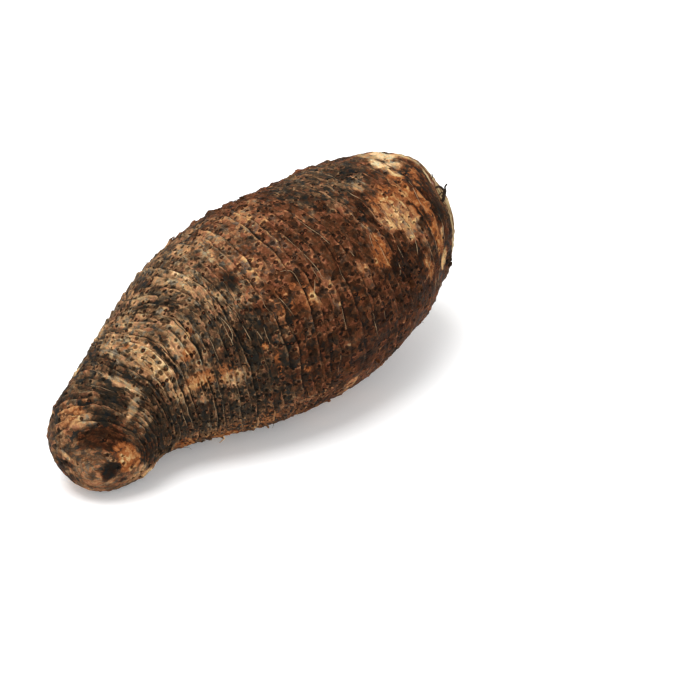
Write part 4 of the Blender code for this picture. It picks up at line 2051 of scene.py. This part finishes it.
@dataclass
class Studio:
    """A plain pale floor, soft lights from above, and the camera at the photographed angle."""

    floor_size: float = 6.0
    floor_drop: float = 0.0002
    floor_glow: float = 0.17
    floor_whites: Place = (0.90, 0.93)
    floor_mottle: Grain = Grain(0.4, 2.0)
    floor_dullness: float = 0.9
    floor_gloss: float = 0.1
    lights: tuple[SoftLight, ...] = (
        SoftLight("key_light", (-0.4, 0.09, 1.7), 1.1, 31.0),
        SoftLight("fill_light", (-1.3, -1.5, 1.1), 1.6, 8.0),
    )
    sky_strength: float = 0.74
    target: Point = (-0.0154, -0.0164, 0.0491)
    heading: float = 42.0
    looks_down: float = 32.46
    distance: float = 1.3
    focal_pixels: float = 2602.8
    frame_pixels: float = 700.0
    target_pixel: Place = (264.3, 344.0)
    sensor: float = 36.0

    def build(self) -> None:
        """Set up the floor, the lights, the surroundings and the camera."""
        self._floor()
        for light in self.lights:
            self._hang(light)
        self._surroundings()
        self._camera()
        settings = bpy.context.scene.view_settings
        settings.view_transform = "Standard"
        settings.look = "None"

    def _floor(self) -> None:
        """Lay the floor, with a faint mottle in its colour."""
        sheet = bmesh.new()
        bmesh.ops.create_grid(sheet, x_segments=8, y_segments=8, size=self.floor_size / 2)
        bmesh.ops.translate(sheet, verts=sheet.verts, vec=(0.0, 0.0, -self.floor_drop))
        mesh = bpy.data.meshes.new("floor")
        sheet.to_mesh(mesh)
        sheet.free()
        board = NodeBoard("floor_white")
        place = board.add("TexCoord", {}).outputs["Object"]
        mottle = board.ease(board.noise(place, self.floor_mottle), -0.5, 0.5)
        whites = [(white,) * 3 for white in self.floor_whites]
        board.shader.inputs["Emission Color"].default_value = (1.0, 1.0, 1.0, 1.0)
        board.shader.inputs["Emission Strength"].default_value = self.floor_glow
        white = board.mix(mottle, *whites)
        mesh.materials.append(board.finish(white, self.floor_dullness, self.floor_gloss))
        floor = bpy.data.objects.new("floor", mesh)
        show(floor)

    def _hang(self, light: SoftLight) -> None:
        """Hang a light that faces the corm.

        Args:
            light: The light.
        """
        lamp = bpy.data.lights.new(light.name, "AREA")
        lamp.size = light.size
        lamp.energy = light.power
        hung = bpy.data.objects.new(light.name, lamp)
        hung.location = light.place
        hung.rotation_euler = (Vector(self.target) - Vector(light.place)).to_track_quat("-Z", "Y").to_euler()
        show(hung)

    def _surroundings(self) -> None:
        """Surround the scene with plain bright white."""
        world = bpy.data.worlds.new("white_room")
        world.use_nodes = True
        sky = world.node_tree.nodes["Background"]
        sky.inputs["Color"].default_value = (1.0, 1.0, 1.0, 1.0)
        sky.inputs["Strength"].default_value = self.sky_strength
        bpy.context.scene.world = world

    def _camera(self) -> None:
        """Place the camera, and turn its aim until the target is at its own pixel."""
        lens = bpy.data.cameras.new("camera")
        lens.sensor_width = self.sensor
        lens.lens = self.focal_pixels / self.frame_pixels * self.sensor
        camera = bpy.data.objects.new("camera", lens)
        turn = Matrix.Rotation(math.radians(self.heading - 90.0), 4, "Z")
        tilt = Matrix.Rotation(math.radians(90.0 - self.looks_down), 4, "X")
        straight = turn @ tilt
        right = (self.frame_pixels / 2 - self.target_pixel[0]) / self.focal_pixels
        down = (self.frame_pixels / 2 - self.target_pixel[1]) / self.focal_pixels
        aim = Matrix.Rotation(-math.atan(right), 4, "Y") @ Matrix.Rotation(-math.atan(down), 4, "X")
        eye = Vector(self.target) + straight @ Vector((0.0, 0.0, self.distance))
        camera.matrix_world = Matrix.Translation(eye) @ straight @ aim
        show(camera)
        bpy.context.scene.camera = camera


def seat_on_frame(piece: bpy.types.Object) -> None:
    """Make a piece part of the corm: it rides on its body.

    Args:
        piece: The piece.
    """
    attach(piece, "root")
    LOG.info("%s: %d faces", piece.name, len(piece.data.polygons))


def main() -> None:
    """Build the studio, the skin and every piece on it."""
    logging.basicConfig(level=logging.INFO, format="%(name)s %(message)s")
    random = np.random.default_rng(SEED)
    form = CormForm()
    scars = LeafScars(form, random)
    grid = SkinGrid(form, scars)
    skin = CormSkin(grid, RootPits(grid, random), SkinTones(random), SkinFinish())
    body = skin.build()
    seat_on_frame(body)
    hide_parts("corm")
    CrownSheaths(skin).build()
    BarkPlates(skin, random, BarkFinish()).build()
    RingFibres(skin, random).build()
    RootThreads(skin, random).build()
    CrownTuft(skin).build()
    Studio().build()


if __name__ == "__main__":
    main()
